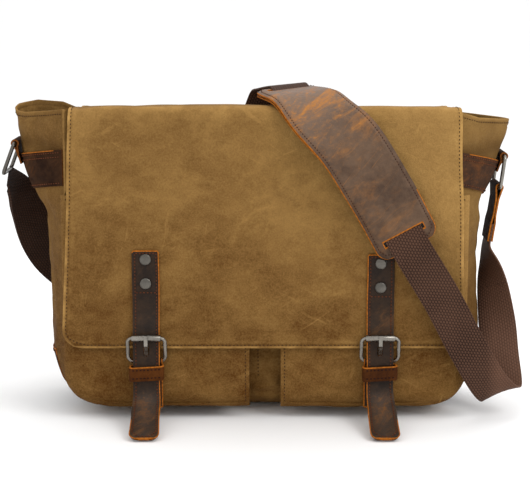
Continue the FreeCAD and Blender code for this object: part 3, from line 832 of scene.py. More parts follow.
def divider_place(u, v):
    """A flat pad, quilted in diamonds."""
    z = divider_foot + v * divider_height
    x = u * divider_half
    across, down = x / quilt_size, z / quilt_size
    quilt = 0.8 * np.abs(np.sin(across + down) * np.sin(across - down)) ** 0.4
    return np.stack([x, divider_face - quilt * np.clip((1 - np.abs(u)) * 12, 0, 1), z], 1)


divider = cloth_sheet("laptop_divider", 120, 80, divider_place, (0.376, 0.242))
give_body(divider, 6.8, [lining_fabric], round_edge=2.6)
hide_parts("divider_pad")
for piece in (lining, divider):
    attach(piece, "bag")

board_finish = Finish("board_black", roughness=0.7)
board_grain = board_finish.cloud(board_finish.place(), 300.0, 3.0).band(0.3, 0.7)
board_finish.feed(Base_Color=board_finish.blend(board_grain, (0.015, 0.015, 0.015), (0.03, 0.03, 0.03)))


board_half, board_corner, board_back, board_deep, board_top = 152.0, 10.0, 42.0, 48.0, 4.9


def board_place(u, v):
    """A flat board with clipped corners."""
    reach = board_half - board_corner * np.clip(np.abs(2 * v - 1) - 0.8, 0, 1) * 5
    return np.stack([u * reach, board_back - v * board_deep, np.full_like(u, board_top)], 1)


board = cloth_sheet("stiff_base_board", 30, 12, board_place, (0.304, 0.048))
give_body(board, 2.6, [board_finish.material], round_edge=0.4)
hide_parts("base_board")
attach(board, "bag")


# The flap straps: thick leather with raw orange edges, riveted to the flap twice, running down
# through the buckle and the keeper to a free tip that curls forward below the bag.
strap_x = {"left": -117.0, "right": 113.5}
strap_half = 13.25
strap_top = {"left": 173.0, "right": 169.0}
strap_lines = {}
for name, top in strap_top.items():
    strap_lines[name] = cut_corners([(-143.2, 2.6), (-98, 19.2), (-90, 22.6), (-83.2, 29), (-79.9, 36),
                                     (-79.3, 42), (-79.3, 61), (-77.6, 74), (-75.6, 86), (-74.6, 92),
                                     (-74.6, top)], 3)
strap_tip_round, strap_top_chamfer = 8.5, 1.6
prong_hole_half, prong_hole_low, prong_hole_high = 2.1, 68.5, 76.5


def strip_normal(line, share):
    """The forward-facing normal of a side-view line that runs upwards."""
    gap = 0.004
    d = along(line, np.clip(share + gap, 0, 1))[0] - along(line, np.clip(share - gap, 0, 1))[0]
    d /= np.linalg.norm(d, axis=1)[:, None]
    return np.stack([-d[:, 1], d[:, 0]], 1)


strap_thread = thread("strap_thread", (0.120, 0.036, 0.014))
strap_stitch = (3.3, strap_thread, 0.66, 1.5, 0.40)


def make_strap(name, centre):
    """One flap strap with its hole for the prong, its border stitches and the row across its top."""
    strap_line, top_z = strap_lines[name], strap_top[name]
    strap_length = along(strap_line, [0])[1]

    def place(u, v):
        at, _ = along(strap_line, v)
        normal = strip_normal(strap_line, v)
        from_tip = np.clip(strap_tip_round - v * strap_length, 0, strap_tip_round)
        from_top = np.clip(strap_top_chamfer - (1 - v) * strap_length, 0, strap_top_chamfer)
        loose = np.clip((34 - at[:, 1]) / 30, 0, 1)
        rounding = strap_tip_round - np.sqrt(strap_tip_round ** 2 - from_tip ** 2)
        half = strap_half + 1.3 * loose - rounding - from_top
        x = u * half
        points = np.stack([centre + x + 1.3 * loose, at[:, 0], at[:, 1]], 1)
        edge = np.minimum(half - np.abs(x), np.minimum(v, 1 - v) * strap_length)
        rise = 1.6 - 0.6 * np.clip(1 - edge / 1.3, 0, 1) - 0.35 * np.exp(-((edge - 2.9) / 0.7) ** 2)
        rise += smooth_noise(points, 13.0, 51) * 0.22
        points[:, 1:] += normal * rise[:, None]
        points[:, 0] += smooth_noise(points, 30.0, 52) * 0.5
        return points

    def prong_hole(u, v):
        at, _ = along(strap_line, v)
        within = (at[:, 1] > prong_hole_low) & (at[:, 1] < prong_hole_high)
        return (np.abs(u * strap_half) < prong_hole_half) & within

    def wear(u, v):
        at, _ = along(strap_line, v)
        # The curled tongue and its lower run are painted paler, strongest along the middle: a painted sheen
        # on its upward face.
        bend = np.exp(-((at[:, 1] - 21) / 9) ** 2) + 0.5 * np.clip((30 - at[:, 1]) / 20, 0, 1)
        side = np.clip(1 - np.abs(u) * 0.6, 0, 1)
        return bend * side * 1.15 + 0.20 * np.exp(-((v - 0.66) / 0.06) ** 2)

    inner = -1 if centre > 0 else 1
    strap = cloth_sheet("flap_strap_leather_" + name, 27, 170, place, (0.0265, strap_length * 0.001),
                        prong_hole, wear)
    paint_border(strap, lambda x, y, z: ((x - centre) * inner > 8) | (z > top_z - 2) | (z < 14))
    give_body(strap, 3.0, [dark_leather, edge_orange], rim=1)
    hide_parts("flap_strap_" + name)
    from_edge = 2.9
    inset, tip, top = 1 - from_edge / strap_half, from_edge / strap_length, 1 - from_edge / strap_length
    cross_v = 1 - 42 / strap_length
    corner = 7.5 / strap_length
    border = [(-inset, top), (-inset, tip + corner), (-inset * 0.7, tip + corner * 0.25), (-inset * 0.4, tip)]
    border += [(-u, v) for u, v in border[::-1]] + [(-inset, top)]
    rows = [sew("strap_stitches_" + name, place, border, *strap_stitch),
            sew("strap_cross_stitches_" + name, place, [(-inset, cross_v), (inset, cross_v)], *strap_stitch)]
    for piece in [strap] + rows:
        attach(piece, "flap")


for name, centre in strap_x.items():
    make_strap(name, centre)


# Metalwork: everything is dark satin nickel. Domed rivets are turned; buckle frames are bent wire
# with a roller and a flat prong; press studs, rings and slider keep their plain shape.
def satin_nickel(name, base):
    """Brushed nickel, duller and darker where it has tarnished."""
    f = Finish(name, roughness=0.3, metallic=1.0)
    at = f.place()
    brushed = f.cloud(at, 180.0, 3.0, 0.6).band(0.3, 0.7)
    tarnish = f.cloud(at, 60.0, 3.0, 0.6).band(0.45, 0.75)
    colour = f.blend(tarnish * 0.5, f.blend(brushed, shade(base, 0.8), base), shade(base, 0.45))
    f.feed(Base_Color=colour, Roughness=0.22 + brushed * 0.10 + tarnish * 0.16,
           Normal=f.relief(brushed, 0.0001, 0.3))
    return f.material


nickel = satin_nickel("satin_nickel", (0.27, 0.25, 0.22))
# A darker nickel for the rivets; on the left ring it is painted shade.
rivet_and_shaded_ring_nickel = satin_nickel("rivet_and_shaded_ring_nickel", (0.13, 0.12, 0.105))


def mesh_piece(name, verts, faces, material):
    """A piece of one material from points in mm and their faces, all facing outwards."""
    mesh = bpy.data.meshes.new(name)
    mesh.from_pydata((np.array(verts) * 0.001).tolist(), [], faces)
    piece = bpy.data.objects.new(name, mesh)
    bpy.context.collection.objects.link(piece)
    mesh.materials.append(material)
    pick(piece)
    bpy.ops.object.mode_set(mode="EDIT")
    bpy.ops.mesh.select_all(action="SELECT")
    bpy.ops.mesh.normals_make_consistent(inside=False)
    bpy.ops.object.mode_set(mode="OBJECT")
    bpy.ops.object.shade_smooth_by_angle(angle=math.radians(40))
    return piece


def turned(profile, centre, axis, sides=40):
    """Points and faces of a closed shape turned about an axis; profile is (radius, along the axis)."""
    axis = np.array(axis, float)
    side = np.array([0, 0, 1.0]) if abs(axis[2]) < 0.5 else np.array([1.0, 0, 0])
    other = np.cross(axis, side)
    verts, faces = [], []
    for r, a in profile:
        for i in range(sides):
            t = 2 * math.pi * i / sides
            verts.append(np.array(centre) + axis * a + (side * math.cos(t) + other * math.sin(t)) * r)
    for k in range(len(profile) - 1):
        for i in range(sides):
            j = (i + 1) % sides
            faces.append([k * sides + i, k * sides + j, (k + 1) * sides + j, (k + 1) * sides + i])
    faces += [list(range(sides)), [(len(profile) - 1) * sides + i for i in range(sides)]]
    return verts, faces


def bent_wire(path, across, deep, sides=16):
    """A closed loop of wire along path (n x 3, mm), oval in section: across in its plane, deep out of it."""
    path = np.array(path, float)
    ahead = np.roll(path, -1, 0) - np.roll(path, 1, 0)
    ahead /= np.linalg.norm(ahead, axis=1)[:, None]
    flat = np.cross(path[len(path) // 4] - path[0], path[len(path) // 2] - path[0])
    flat /= np.linalg.norm(flat)
    out = np.cross(ahead, flat)
    turn = np.linspace(0, 2 * math.pi, sides, endpoint=False)
    ring = [path + out * across * math.cos(t) + flat * deep * math.sin(t) for t in turn]
    verts = np.stack(ring, 1).reshape(-1, 3)
    faces, around = [], [(i + 1) % sides for i in range(sides)]
    for k in range(len(path)):
        here, there = k * sides, (k + 1) % len(path) * sides
        faces += [[here + i, here + j, there + j, there + i] for i, j in zip(range(sides), around)]
    return verts, faces


bar, roller_axis = np.array([-73.9, 61.0]), np.array([-80.5, 86.0])
rivets_below_top = (9.0, 33.0)
frame_half, bar_bend, roller_bend = 18.4, 6.5, 5.0
roller_sides, roller_hole, roller_end, roller_radius, roller_half = 36, 1.82, 3.0, 3.25, 14.2
rivet_profile = [(0.6, -78.15), (3.6, -78.1), (5.0, -77.75), (5.6, -77.2), (5.75, -76.6), (5.6, -76.25),
                 (1.6, -76.2), (1.6, -70.2), (4.5, -70.2), (4.5, -69.3), (0.6, -69.3)]
for name, centre in strap_x.items():
    verts, faces = [], []
    for below in rivets_below_top:
        v, f = turned(rivet_profile, (centre, 0, strap_top[name] - below), (0, 1, 0))
        faces += [[i + len(verts) for i in face] for face in f]
        verts += v
    rivets = mesh_piece("strap_rivets_" + name + "_domed", verts, faces, rivet_and_shaded_ring_nickel)
    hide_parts("strap_rivets_" + name)
    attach(rivets, "flap")

    reach = np.linalg.norm(roller_axis - bar)
    lean = (roller_axis - bar) / reach
    corners = [(-frame_half, 0), (frame_half, 0), (frame_half, reach), (-frame_half, reach)]
    loop = []
    for k, (a, b) in enumerate(corners):
        before, after = np.array(corners[k - 1]), np.array(corners[(k + 1) % 4])
        here = np.array([a, b], float)
        r = roller_bend if b > 0 else bar_bend
        back = (before - here) / np.linalg.norm(before - here)
        onward = (after - here) / np.linalg.norm(after - here)
        middle = here + (back + onward) * r
        for i in range(9):
            t = math.pi / 2 * i / 8
            loop.append(middle - onward * r * math.cos(t) - back * r * math.sin(t))
    loop = np.array(loop)
    dense = []
    for a, b in zip(loop, np.roll(loop, -1, 0)):
        steps = max(1, int(np.linalg.norm(b - a) / 3))
        dense += [a + (b - a) * i / steps for i in range(steps)]
    path = [(centre + x, bar[0] + lean[0] * h, bar[1] + lean[1] * h) for x, h in dense]
    buckle = mesh_piece("buckle_frame_" + name + "_wire", *bent_wire(path, 1.9, 1.6), nickel)
    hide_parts("buckle_frame_" + name)
    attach(buckle, "flap")

    wall = [(roller_hole, -roller_half), (roller_end, -roller_half), (roller_radius, 0.3 - roller_half)]
    wall += [(r, -a) for r, a in wall[::-1]] + wall[:1]
    verts, faces = turned(wall, (centre, *roller_axis), (1, 0, 0), roller_sides)
    verts = verts[:-roller_sides]
    faces = [[i % len(verts) for i in face] for face in faces[:-2]]
    for i, p in enumerate(verts):
        away = p[1:] - roller_axis
        on_seam = i % roller_sides in (29, 30)
        if on_seam and abs(p[0] - centre) < roller_half - 0.1 and np.linalg.norm(away) > 2.9:
            verts[i] = np.array([p[0], *(roller_axis + away * 0.82)])
    roller = mesh_piece("buckle_roller_" + name + "_tube", verts, faces, nickel)
    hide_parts("buckle_roller_" + name)
    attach(roller, "roller_" + name)

for name in ("buckle_prong_left", "buckle_prong_right", "snap_socket_left", "snap_socket_right",
             "snap_stud_left", "snap_stud_right", "side_ring_left", "side_ring_right", "strap_slider"):
    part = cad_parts[name]
    part.data.materials.clear()
    # The left ring gets the darker nickel as painted shade: it hangs in shade.
    part.data.materials.append(rivet_and_shaded_ring_nickel if name == "side_ring_left" else nickel)
    pick(part)
    if "prong" in name or "slider" in name:
        round_edges(part, 0.35)
    bpy.ops.object.shade_smooth_by_angle(angle=math.radians(40))


# Keepers and chapes: a tan keeper loop holds each strap end flat; the chape is a short leather
# strip folded round the buckle's bar and closed on the pocket by a hidden press stud.
keeper_leather = oiled_leather("keeper_leather", (0.034, 0.009, 0.0015), (0.092, 0.028, 0.004),
                               (0.22, 0.064, 0.010), 0.25, 0.7)
keeper_thread = thread("keeper_thread", (0.022, 0.006, 0.005))
keeper_wide, keeper_near, keeper_far, keeper_bend = 15.9, -75.5, -83.0, 2.6
keeper_half, keeper_z = 7.0, 50.6
bar_wrap, chape_half = 3.3, 13.0
chape_foot, chape_neck = 14.0, 57.0


def on_circle(centre, radius, degrees):
    """Points of a circle in a plane, as an array."""
    t = np.radians(np.array(degrees, float))
    return np.array(centre) + radius * np.stack([np.cos(t), np.sin(t)], 1)


right, front, back = keeper_wide - keeper_bend, keeper_far + keeper_bend, keeper_near - keeper_bend
bends = [on_circle(middle, keeper_bend, [start, start - 30, start - 60, start - 90])
         for middle, start in (((right, back), 90), ((right, front), 0), ((-right, front), -90),
                               ((-right, back), -180))]
keeper_loop = np.vstack([[(0, keeper_near), (right, keeper_near)]] + bends + [[(-0.02, keeper_near)]])
chape_wrap = np.vstack([[(-75.5, chape_foot), (-75.5, chape_neck)],
                        on_circle(bar, bar_wrap, range(215, -50, -20)),
                        [(-72.3, chape_neck), (-72.3, chape_foot)]])
for name, centre in strap_x.items():
    def keeper_place(u, v, centre=centre):
        at, _ = along(keeper_loop, v)
        z = keeper_z - u * keeper_half
        edge = keeper_half * (1 - np.abs(u))
        inward = 0.45 * np.clip(1 - edge / 1.2, 0, 1) + 0.3 * np.exp(-((edge - 2.6) / 0.6) ** 2)
        pull = 1 - inward[:, None] / 14
        middle = np.array([0, (keeper_near + keeper_far) / 2])
        at = middle + (at - middle) * pull
        return np.stack([centre + at[:, 0], at[:, 1], z + 0.055 * at[:, 0]], 1)

    keeper = cloth_sheet("keeper_leather_" + name, 14, 90, keeper_place, (0.0145, 0.073))
    paint_border(keeper, lambda x, y, z: (z > 49) & (y < -76))
    give_body(keeper, 1.6, [keeper_leather, edge_orange], rim=1)
    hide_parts("strap_keeper_" + name)
    rows = [sew("keeper_stitches_%s_%d" % (name, i), keeper_place, [(u, 0.30), (u, 0.70)], 3.6, keeper_thread,
                0.66, 1.3, -1.75) for i, u in enumerate((-0.56, 0.56))]
    for piece in [keeper] + rows:
        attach(piece, "flap")

    shift = 2.5 if centre < 0 else -2.5

    def chape_place(u, v, centre=centre, shift=shift):
        at, _ = along(chape_wrap, v)
        ragged = smooth_noise(np.stack([u * 50, np.full_like(u, 3), at[:, 1]], 1), 2.5, 61) * 0.35
        x = centre + shift + u * chape_half + ragged * (np.abs(u) > 0.97)
        return np.stack([x, at[:, 0], at[:, 1]], 1)

    def chape_hole(u, v, shift=shift):
        at, _ = along(chape_wrap, v)
        return (np.abs(u * chape_half + shift) < 2.7) & (at[:, 1] > chape_neck)

    chape = cloth_sheet("chape_leather_" + name, 26, 84, chape_place, (0.026, 0.103), chape_hole)
    paint_border(chape)
    give_body(chape, 1.4, [dark_leather, edge_orange], rim=1)
    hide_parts("buckle_chape_" + name)
    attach(chape, "flap")


# Ring loops and end tab: folded leather strips. A loop with brown edges holds each side ring to its
# band, and a tab with orange edges joins the right ring to the webbing.
ring_at = {"left": (-252.3, 271.0), "right": (241.5, 258.0)}
loop_half, loop_radius, strap_middle_y = 17.0, 4.15, 5.0
for name, (cx, cz) in ring_at.items():
    side = -1 if name == "left" else 1
    high = band_shapes[name]["z"][1]
    foot = gusset_point(gusset_shapes[name], np.array([0.5, 0.5]), np.array([high - 10.0, high - 3.0]), 2.4)
    feet = [(side * foot[0, 0] + 1.6, foot[0, 2]), (side * foot[1, 0] + 1.7, foot[1, 2])]
    c = np.array([side * cx, cz])
    down = np.array(feet[1]) - c
    start = math.degrees(math.atan2(down[1], down[0]))
    arc = on_circle(c, loop_radius, [start + a for a in range(25, 336, 15)])
    line = np.vstack([feet, arc, [feet[1] - np.array([1.2, 0])]])

    def loop_place(u, v, side=side, line=line):
        at, _ = along(line, v)
        wave = smooth_noise(np.stack([u * loop_half, at[:, 0], at[:, 1]], 1), 12.0, 71) * 0.3
        return np.stack([side * at[:, 0], strap_middle_y + side * u * loop_half + wave, at[:, 1]], 1)

    loop = cloth_sheet("ring_loop_leather_" + name, 34, 90, loop_place, (0.034, along(line, [0])[1] * 0.001))
    give_body(loop, 1.6, [band_leather, edge_brown], rim=1)
    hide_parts("ring_loop_" + name)
    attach(loop, "bag")

tab_half = 18.7
ring_reach, ring_lean, tab_lean = 32.0, math.radians(7.1), math.radians(8.5)
tab_top = np.array(ring_at["right"]) - ring_reach * np.array([math.sin(ring_lean), math.cos(ring_lean)])
tab_down = np.array([-math.sin(tab_lean), -math.cos(tab_lean)])
tab_out = np.array([math.cos(tab_lean), -math.sin(tab_lean)])
tab_pinch = [(56, 2.8), (37, 2.8), (29, 1.9), (12, 2.0)]
tab_line = [tab_top + tab_down * d + tab_out * gap for d, gap in tab_pinch]
tab_line += [tab_top + 4.2 * (tab_out * math.cos(math.radians(a)) - tab_down * math.sin(math.radians(a)))
             for a in range(-25, 206, 12)]
tab_line += [tab_top + tab_down * d - tab_out * gap for d, gap in tab_pinch[::-1]]
tab_line = np.array(tab_line)


def tab_place(u, v):
    """Round the ring and down both sides of the webbing."""
    at, _ = along(tab_line, v)
    return np.stack([at[:, 0], strap_middle_y + u * tab_half, at[:, 1]], 1)


tab = cloth_sheet("strap_end_tab_leather", 36, 110, tab_place, (0.0374, along(tab_line, [0])[1] * 0.001))
give_body(tab, 1.6, [band_leather, edge_orange], rim=1)
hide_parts("strap_end_tab")
tab_rows = [sew("tab_stitches_%d" % i, tab_place, route, 3.3, leather_thread) for i, route in enumerate((
    [(-0.85, 0.03), (-0.85, 0.36), (0.85, 0.36), (0.85, 0.03), (-0.85, 0.03)],
    [(-0.85, 0.97), (-0.85, 0.64), (0.85, 0.64), (0.85, 0.97), (-0.85, 0.97)]))]
for piece in [tab] + tab_rows:
    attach(piece, "end_tab")


# The shoulder pad: a thick oiled leather face with a slot near each end, a soft foam core and a
# thin backing. Its edges are raw and orange with one row of stitches just inside them.
def spline(knots, values, at):
    """Smooth curve through values at knots; returns its points and its slopes."""
    gap, n = np.diff(knots), len(knots)
    left, right = np.eye(n), np.zeros((n, 3))
    for i in range(1, n - 1):
        left[i, i - 1:i + 2] = gap[i - 1], 2 * (gap[i - 1] + gap[i]), gap[i]
        right[i] = 6 * ((values[i + 1] - values[i]) / gap[i] - (values[i] - values[i - 1]) / gap[i - 1])
    bend = np.linalg.solve(left, right)
    k = np.clip(np.searchsorted(knots, at, side="right") - 1, 0, n - 2)
    x, h = (at - knots[k])[:, None], gap[k][:, None]
    slope = (values[k + 1] - values[k]) / h - h * (2 * bend[k] + bend[k + 1]) / 6
    point = values[k] + slope * x + bend[k] * x ** 2 / 2 + (bend[k + 1] - bend[k]) * x ** 3 / (6 * h)
    return point, slope + bend[k] * x + (bend[k + 1] - bend[k]) * x ** 2 / (2 * h)


class Run:
    """A strip through stations of (centre, direction across it), in mm."""

    def __init__(self, stations):
        self.centre = np.array([p for p, _ in stations], float)
        across = np.array([w for _, w in stations], float)
        self.edge = self.centre + 20 * across / np.linalg.norm(across, axis=1)[:, None]
        self.knots = np.concatenate([[0], np.cumsum(np.linalg.norm(np.diff(self.centre, axis=0), axis=1))])
        self.length = self.knots[-1]

    def at(self, x, distance, lift):
        """Points x mm across and distance mm along, lifted off the face."""
        point, slope = spline(self.knots, self.centre, distance)
        edge, _ = spline(self.knots, self.edge, distance)
        slope /= np.linalg.norm(slope, axis=1)[:, None]
        across = edge - point
        across -= slope * np.sum(across * slope, axis=1)[:, None]
        across /= np.linalg.norm(across, axis=1)[:, None]
        lift = (np.zeros(len(point)) + lift)[:, None]
        return point + across * np.array(x)[:, None] + np.cross(across, slope) * lift


pad_run = Run([((142, -86.2, 176), (0.92, 0.03, 0.39)), ((136, -86.5, 187), (0.92, 0.03, 0.39)),
               ((122, -91, 213), (0.92, 0.03, 0.40)), ((99, -99, 252), (0.90, 0.06, 0.44)),
               ((76, -99, 286), (0.91, 0.12, 0.40)), ((54, -83, 308), (0.92, 0.22, 0.32)),
               ((40, -64, 323), (0.92, 0.30, 0.17)), ((27, -36, 327), (0.91, 0.40, 0.10)),
               ((19, -12, 328), (0.91, 0.41, 0.06))])
pad_half, pad_corner = 32.0, 13.0
pad_begin = 0.2
pad_length = pad_run.length - pad_begin
slot_in, slot_gap, slot_half = 15.5, 2.4, 21.5
foam_half, foam_inset = 27.5, 4.0


def pad_edge(u, v, half_width, corner):
    """Half width at v, and the distance of each point from the nearest edge."""
    from_end = np.minimum(v, 1 - v) * pad_length
    low = np.clip(corner - from_end, 0, corner)
    half = half_width - (corner - np.sqrt(corner ** 2 - low ** 2))
    return half, np.minimum(half * (1 - np.abs(u)), from_end)


def pad_place(u, v):
    """The pad's face, pressed down along its edge and in the stitch groove."""
    half, edge = pad_edge(u, v, pad_half, pad_corner)
    rise = -2.8 * np.clip(1 - edge / 7.0, 0, 1) ** 1.6 - 0.45 * np.exp(-((edge - 3.8) / 0.7) ** 2)
    points = pad_run.at(u * half, pad_begin + v * pad_length, rise)
    return points + (smooth_noise(points, 26.0, 81) * 0.5)[:, None] * np.array([0, -0.6, 0.4])


def pad_wear(u, v):
    """Paler where the pad bends over the top of the bag, darker along its edge."""
    _, edge = pad_edge(u, v, pad_half, pad_corner)
    bend = 1.35 * np.exp(-((v - 0.76) / 0.22) ** 2) + 0.08 * np.exp(-((v - 0.35) / 0.2) ** 2)
    return bend - 0.3 * np.exp(-(edge / 2.5) ** 2)


def pad_slot(u, v):
    """The slots that the webbing passes through."""
    from_end = np.minimum(v, 1 - v) * pad_length
    return (np.abs(from_end - slot_in) < slot_gap) & (np.abs(u * pad_half) < slot_half)


def backing_place(u, v):
    """Under the foam, drawn up to the face all round."""
    half, edge = pad_edge(u, v, pad_half, pad_corner)
    lift = -7.0 + np.clip(1 - edge / 6.0, 0, 1) ** 1.6
    return pad_run.at(-u * half, pad_begin + v * pad_length, lift)


def foam_place(u, v):
    """Between face and backing, well inside the stitches."""
    half, edge = pad_edge(u, v, foam_half, 9.0)
    distance = pad_begin + foam_inset + v * (pad_length - 2 * foam_inset)
    return pad_run.at(u * half, distance, -4.15 - 0.7 * np.clip(1 - edge / 5.0, 0, 1))


pad_leather = oiled_leather("pad_leather", (0.044, 0.023, 0.013), (0.120, 0.070, 0.041),
                            (0.40, 0.155, 0.028), 0.13, 0.42)
pad = cloth_sheet("shoulder_pad_leather_face", 66, 190, pad_place, (0.064, pad_length * 0.001),
                  pad_slot, pad_wear)
paint_border(pad, lambda x, y, z: (x + 0.6 * z < 228) | (x + 0.1 * z < 40) | (z < 235))
give_body(pad, 2.0, [pad_leather, edge_orange], rim=1)
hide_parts("shoulder_pad_leather")
pad_thread = thread("pad_thread", (0.055, 0.016, 0.009))
pad_inset = 3.8
inset_u, inset_v, turn_v = 1 - pad_inset / pad_half, pad_inset / pad_length, pad_corner / pad_length
low_left = [(-inset_u, turn_v), (-inset_u * 0.92, turn_v * 0.52), (-inset_u * 0.72, inset_v)]
low_end = low_left + [(-u, v) for u, v in low_left[::-1]]
high_end = [(u, 1 - v) for u, v in low_end[::-1]]
pad_row = sew("shoulder_pad_stitches", pad_place, low_end + high_end + low_left[:1], 3.0, pad_thread,
              0.62, 0.95, 0.3)
backing = cloth_sheet("shoulder_pad_backing_leather", 44, 120, backing_place, (0.064, pad_length * 0.001))
paint_border(backing)
give_body(backing, 1.1, [pad_leather, edge_orange], rim=1)
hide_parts("shoulder_pad_backing")

foam_finish = Finish("foam_grey", roughness=0.9, specular=0.1)
cells = foam_finish.cloud(foam_finish.place(), 900.0, 2.0).band(0.3, 0.7)
foam_finish.feed(Base_Color=foam_finish.blend(cells, (0.05, 0.05, 0.05), (0.16, 0.16, 0.155)))
foam = cloth_sheet("shoulder_pad_foam_core", 30, 100, foam_place,
                   (0.055, (pad_length - 2 * foam_inset) * 0.001))
give_body(foam, 1.7, [foam_finish.material], round_edge=0.4)
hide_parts("shoulder_pad_foam")
for piece in (pad, pad_row, backing, foam):
    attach(piece, "flap")


# The webbing: brown woven strap, 38 mm wide, with small staggered ribs. It runs from the left
# ring down behind the bag, folds, climbs over the top, passes through the pad and loops round
# the right side up to the tab.
def woven_webbing(name, dark, light):
    """Rows of small ribs, each row half a rib on from the next, with painted shade on the left and painted
    light on the right.
    """
    rib_wide, rib_long = 0.0025, 0.0034
    f = Finish(name, roughness=0.8, specular=0.08)
    uv = f.node("ShaderNodeTexCoord", {}, {}, "UV")
    split = f.tree.nodes.new("ShaderNodeSeparateXYZ")
    f.tree.links.new(uv.socket, split.inputs[0])
    u, v = Wire(f, split.outputs[0]), Wire(f, split.outputs[1])
    column = u * (1 / rib_wide) + 200.0
    stagger = column.math("FLOOR").math("MODULO", 2.0) * 0.5
    across = column.math("FRACT") * 2.0 - 1.0
    onward = (v * (1 / rib_long) + stagger + 200.0).math("FRACT") * 2.0 - 1.0
    rib = (1 - across * across) * (1 - onward * onward)
    worn = f.cloud(f.place(), 30.0, 3.0).band(0.3, 0.7)
    fibre = f.cloud(f.place(), 1500.0, 2.0).band(0.3, 0.7)
    share = rib.band(0.10, 0.75) * 0.72 + worn * 0.16 + fibre * 0.12
    colour = f.blend(share, dark, light)
    x = f.node("ShaderNodeSeparateXYZ", {}, {"Vector": f.place()}, "X")
    # Painted light: darker on the bag's left and paler on its right, as light falls from the right.
    colour = f.blend(x.band(-0.20, -0.235) * 0.55, colour, shade(dark, 0.5))
    colour = f.blend(x.band(0.215, 0.235) * 0.40, colour, shade(light, 1.9))
    f.feed(Base_Color=colour, Roughness=0.62 + rib * 0.12, Normal=f.relief(rib, 0.0006, 0.7))
    return f.material


webbing = woven_webbing("brown_webbing", (0.014, 0.0065, 0.004), (0.098, 0.049, 0.031))
web_half, web_thick = 19.0, 1.8


def web_piece(name, run, begin, end, lift=0.0, flip=1):
    """One length of webbing along a run between two distances; flip says which face looks outwards."""
    def place(u, v):
        return run.at(u * web_half * flip, begin + v * (end - begin), lift)

    rows = int((end - begin) / 3.0)
    piece = cloth_sheet(name, 12, rows, place, (0.038, (end - begin) * 0.001))
    give_body(piece, web_thick, [webbing], offset=0, round_edge=0.4)
    return piece


slot_low, slot_high = pad_begin + slot_in, pad_run.length - slot_in
under_leather = pad_run.at([0.0], np.array([slot_low + 7.0]), -3.4)[0]
over_edge = pad_run.at([0.0], np.array([slot_low - 5.0]), 1.1)[0]
front_run = Run([(tuple(under_leather), (0.92, 0.03, 0.39)), (tuple(over_edge), (0.92, 0.03, 0.39)),
                 ((142.5, -88.9, 175.5), (0.91, 0.03, 0.41)), ((152, -89.2, 160), (0.89, 0.02, 0.46)),
                 ((175, -88, 122), (0.88, 0.02, 0.47)), ((195, -86, 84), (0.90, 0.02, 0.44)),
                 ((211, -83, 56), (0.90, 0.02, 0.43)), ((224, -75, 36), (0.91, 0.04, 0.41)),
                 ((235, -62, 26), (0.92, 0.05, 0.37)), ((241, -48, 29), (0.94, 0.05, 0.33)),
                 ((241, -38, 45), (0.97, 0.08, 0.2)), ((239, -30, 68), (0.98, 0.06, 0.08)),
                 ((236.5, -20, 96), (0.90, -0.42, 0.06)), ((233.5, -9, 124), (0.70, -0.71, 0.08)),
                 ((230, 0, 147), (0.36, -0.93, 0.04)), ((228.3, 4.6, 163), (0.05, -1, 0)),
                 ((229.4, 5, 171.5), (0, -1, 0)), ((230.6, 5, 180), (0, -1, 0)),
                 ((231.9, 5, 189), (0, -1, 0))])
front_begin, bottom, knee = 0.5, front_run.knots[9], front_run.knots[13]
web_front = web_piece("strap_web_front_slack", front_run, front_begin, bottom, flip=-1)
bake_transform(web_front)
web_side = web_piece("strap_web_right_rise", front_run, bottom, knee, flip=-1)
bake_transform(web_side)
web_end = web_piece("strap_web_right_end", front_run, knee, front_run.length, flip=-1)
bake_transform(web_end)
for piece in (web_front, web_side, web_end):
    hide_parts("strap_web_front")

pad_web = web_piece("strap_web_in_pad", pad_run, slot_low + 3, slot_high - 3, lift=-3.1)
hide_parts("strap_web_pad")
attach(pad_web, "flap")

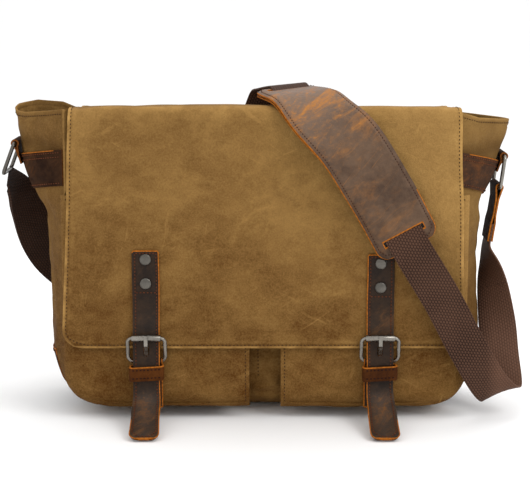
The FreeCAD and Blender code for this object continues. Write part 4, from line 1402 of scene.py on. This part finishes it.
fold, turn, fold_r, twist = np.array([-128.0, 74, 42]), math.radians(12.4), 10.0, 0.716
a_axis = np.array([math.cos(turn), 0, math.sin(turn)])
q_axis = np.array([math.sin(turn), 0, -math.cos(turn)])
y_axis = np.array([0, 1.0, 0])
folded = []
for step in range(7):
    t = math.radians(30 * step)
    out = y_axis * math.cos(t) + q_axis * math.sin(t)
    onward = q_axis * math.cos(t) - y_axis * math.sin(t)
    folded.append((fold + a_axis * twist * fold_r * t + out * fold_r, a_axis - onward * twist))
slope = math.radians(23.4)
leg = [((-60 + d * math.sin(slope), 64, 165.2 + d * math.cos(slope)), (math.cos(slope), 0, -math.sin(slope)))
       for d in (-100, -70, -40, -20, 0, 20, 40, 80, 118)]
into_pad = pad_run.at([0.0], np.array([slot_high - 11.0]), -3.2)[0]
back_run = Run([((-263.2, 7.5, 236), (0.14, 0.99, 0.02)), ((-256, 14, 224), (0.40, 0.91, 0.06)),
                ((-248, 31, 199), (0.74, 0.65, 0.15)), ((-243, 46, 170), (0.86, 0.38, 0.32)),
                ((-232, 60, 142), (0.80, 0.22, 0.55)), ((-207, 76, 114), (0.70, 0.08, 0.70))] + folded + leg
               + [((-4, 65, 295), (0.92, 0.02, -0.38)), ((2, 60, 311), (0.92, 0.16, -0.32)),
                  ((8, 44, 320), (0.92, 0.34, -0.12)), ((14, 22, 325), (0.92, 0.39, 0.0)),
                  ((20, 0, 328.6), (0.91, 0.40, 0.05)), ((23.4, -15, 329.6), (0.91, 0.40, 0.08)),
                  (tuple(into_pad), (0.91, 0.40, 0.10))])
drop_end = back_run.knots[5]
web_left = web_piece("strap_web_left_drop", back_run, 0.0, drop_end)
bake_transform(web_left)
web_behind = web_piece("strap_web_behind", back_run, drop_end, back_run.length)
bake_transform(web_behind)
for piece in (web_left, web_behind):
    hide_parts("strap_web_back")
web_return = web_piece("strap_web_return_layer", back_run, 6.0, drop_end * 0.92, lift=1.9)
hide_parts("strap_web_return")
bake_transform(web_return)
for piece, length in ((web_front, bottom - front_begin), (web_side, knee - bottom),
                      (web_end, front_run.length - knee), (web_left, drop_end),
                      (web_behind, back_run.length - drop_end)):
    length * 0.001
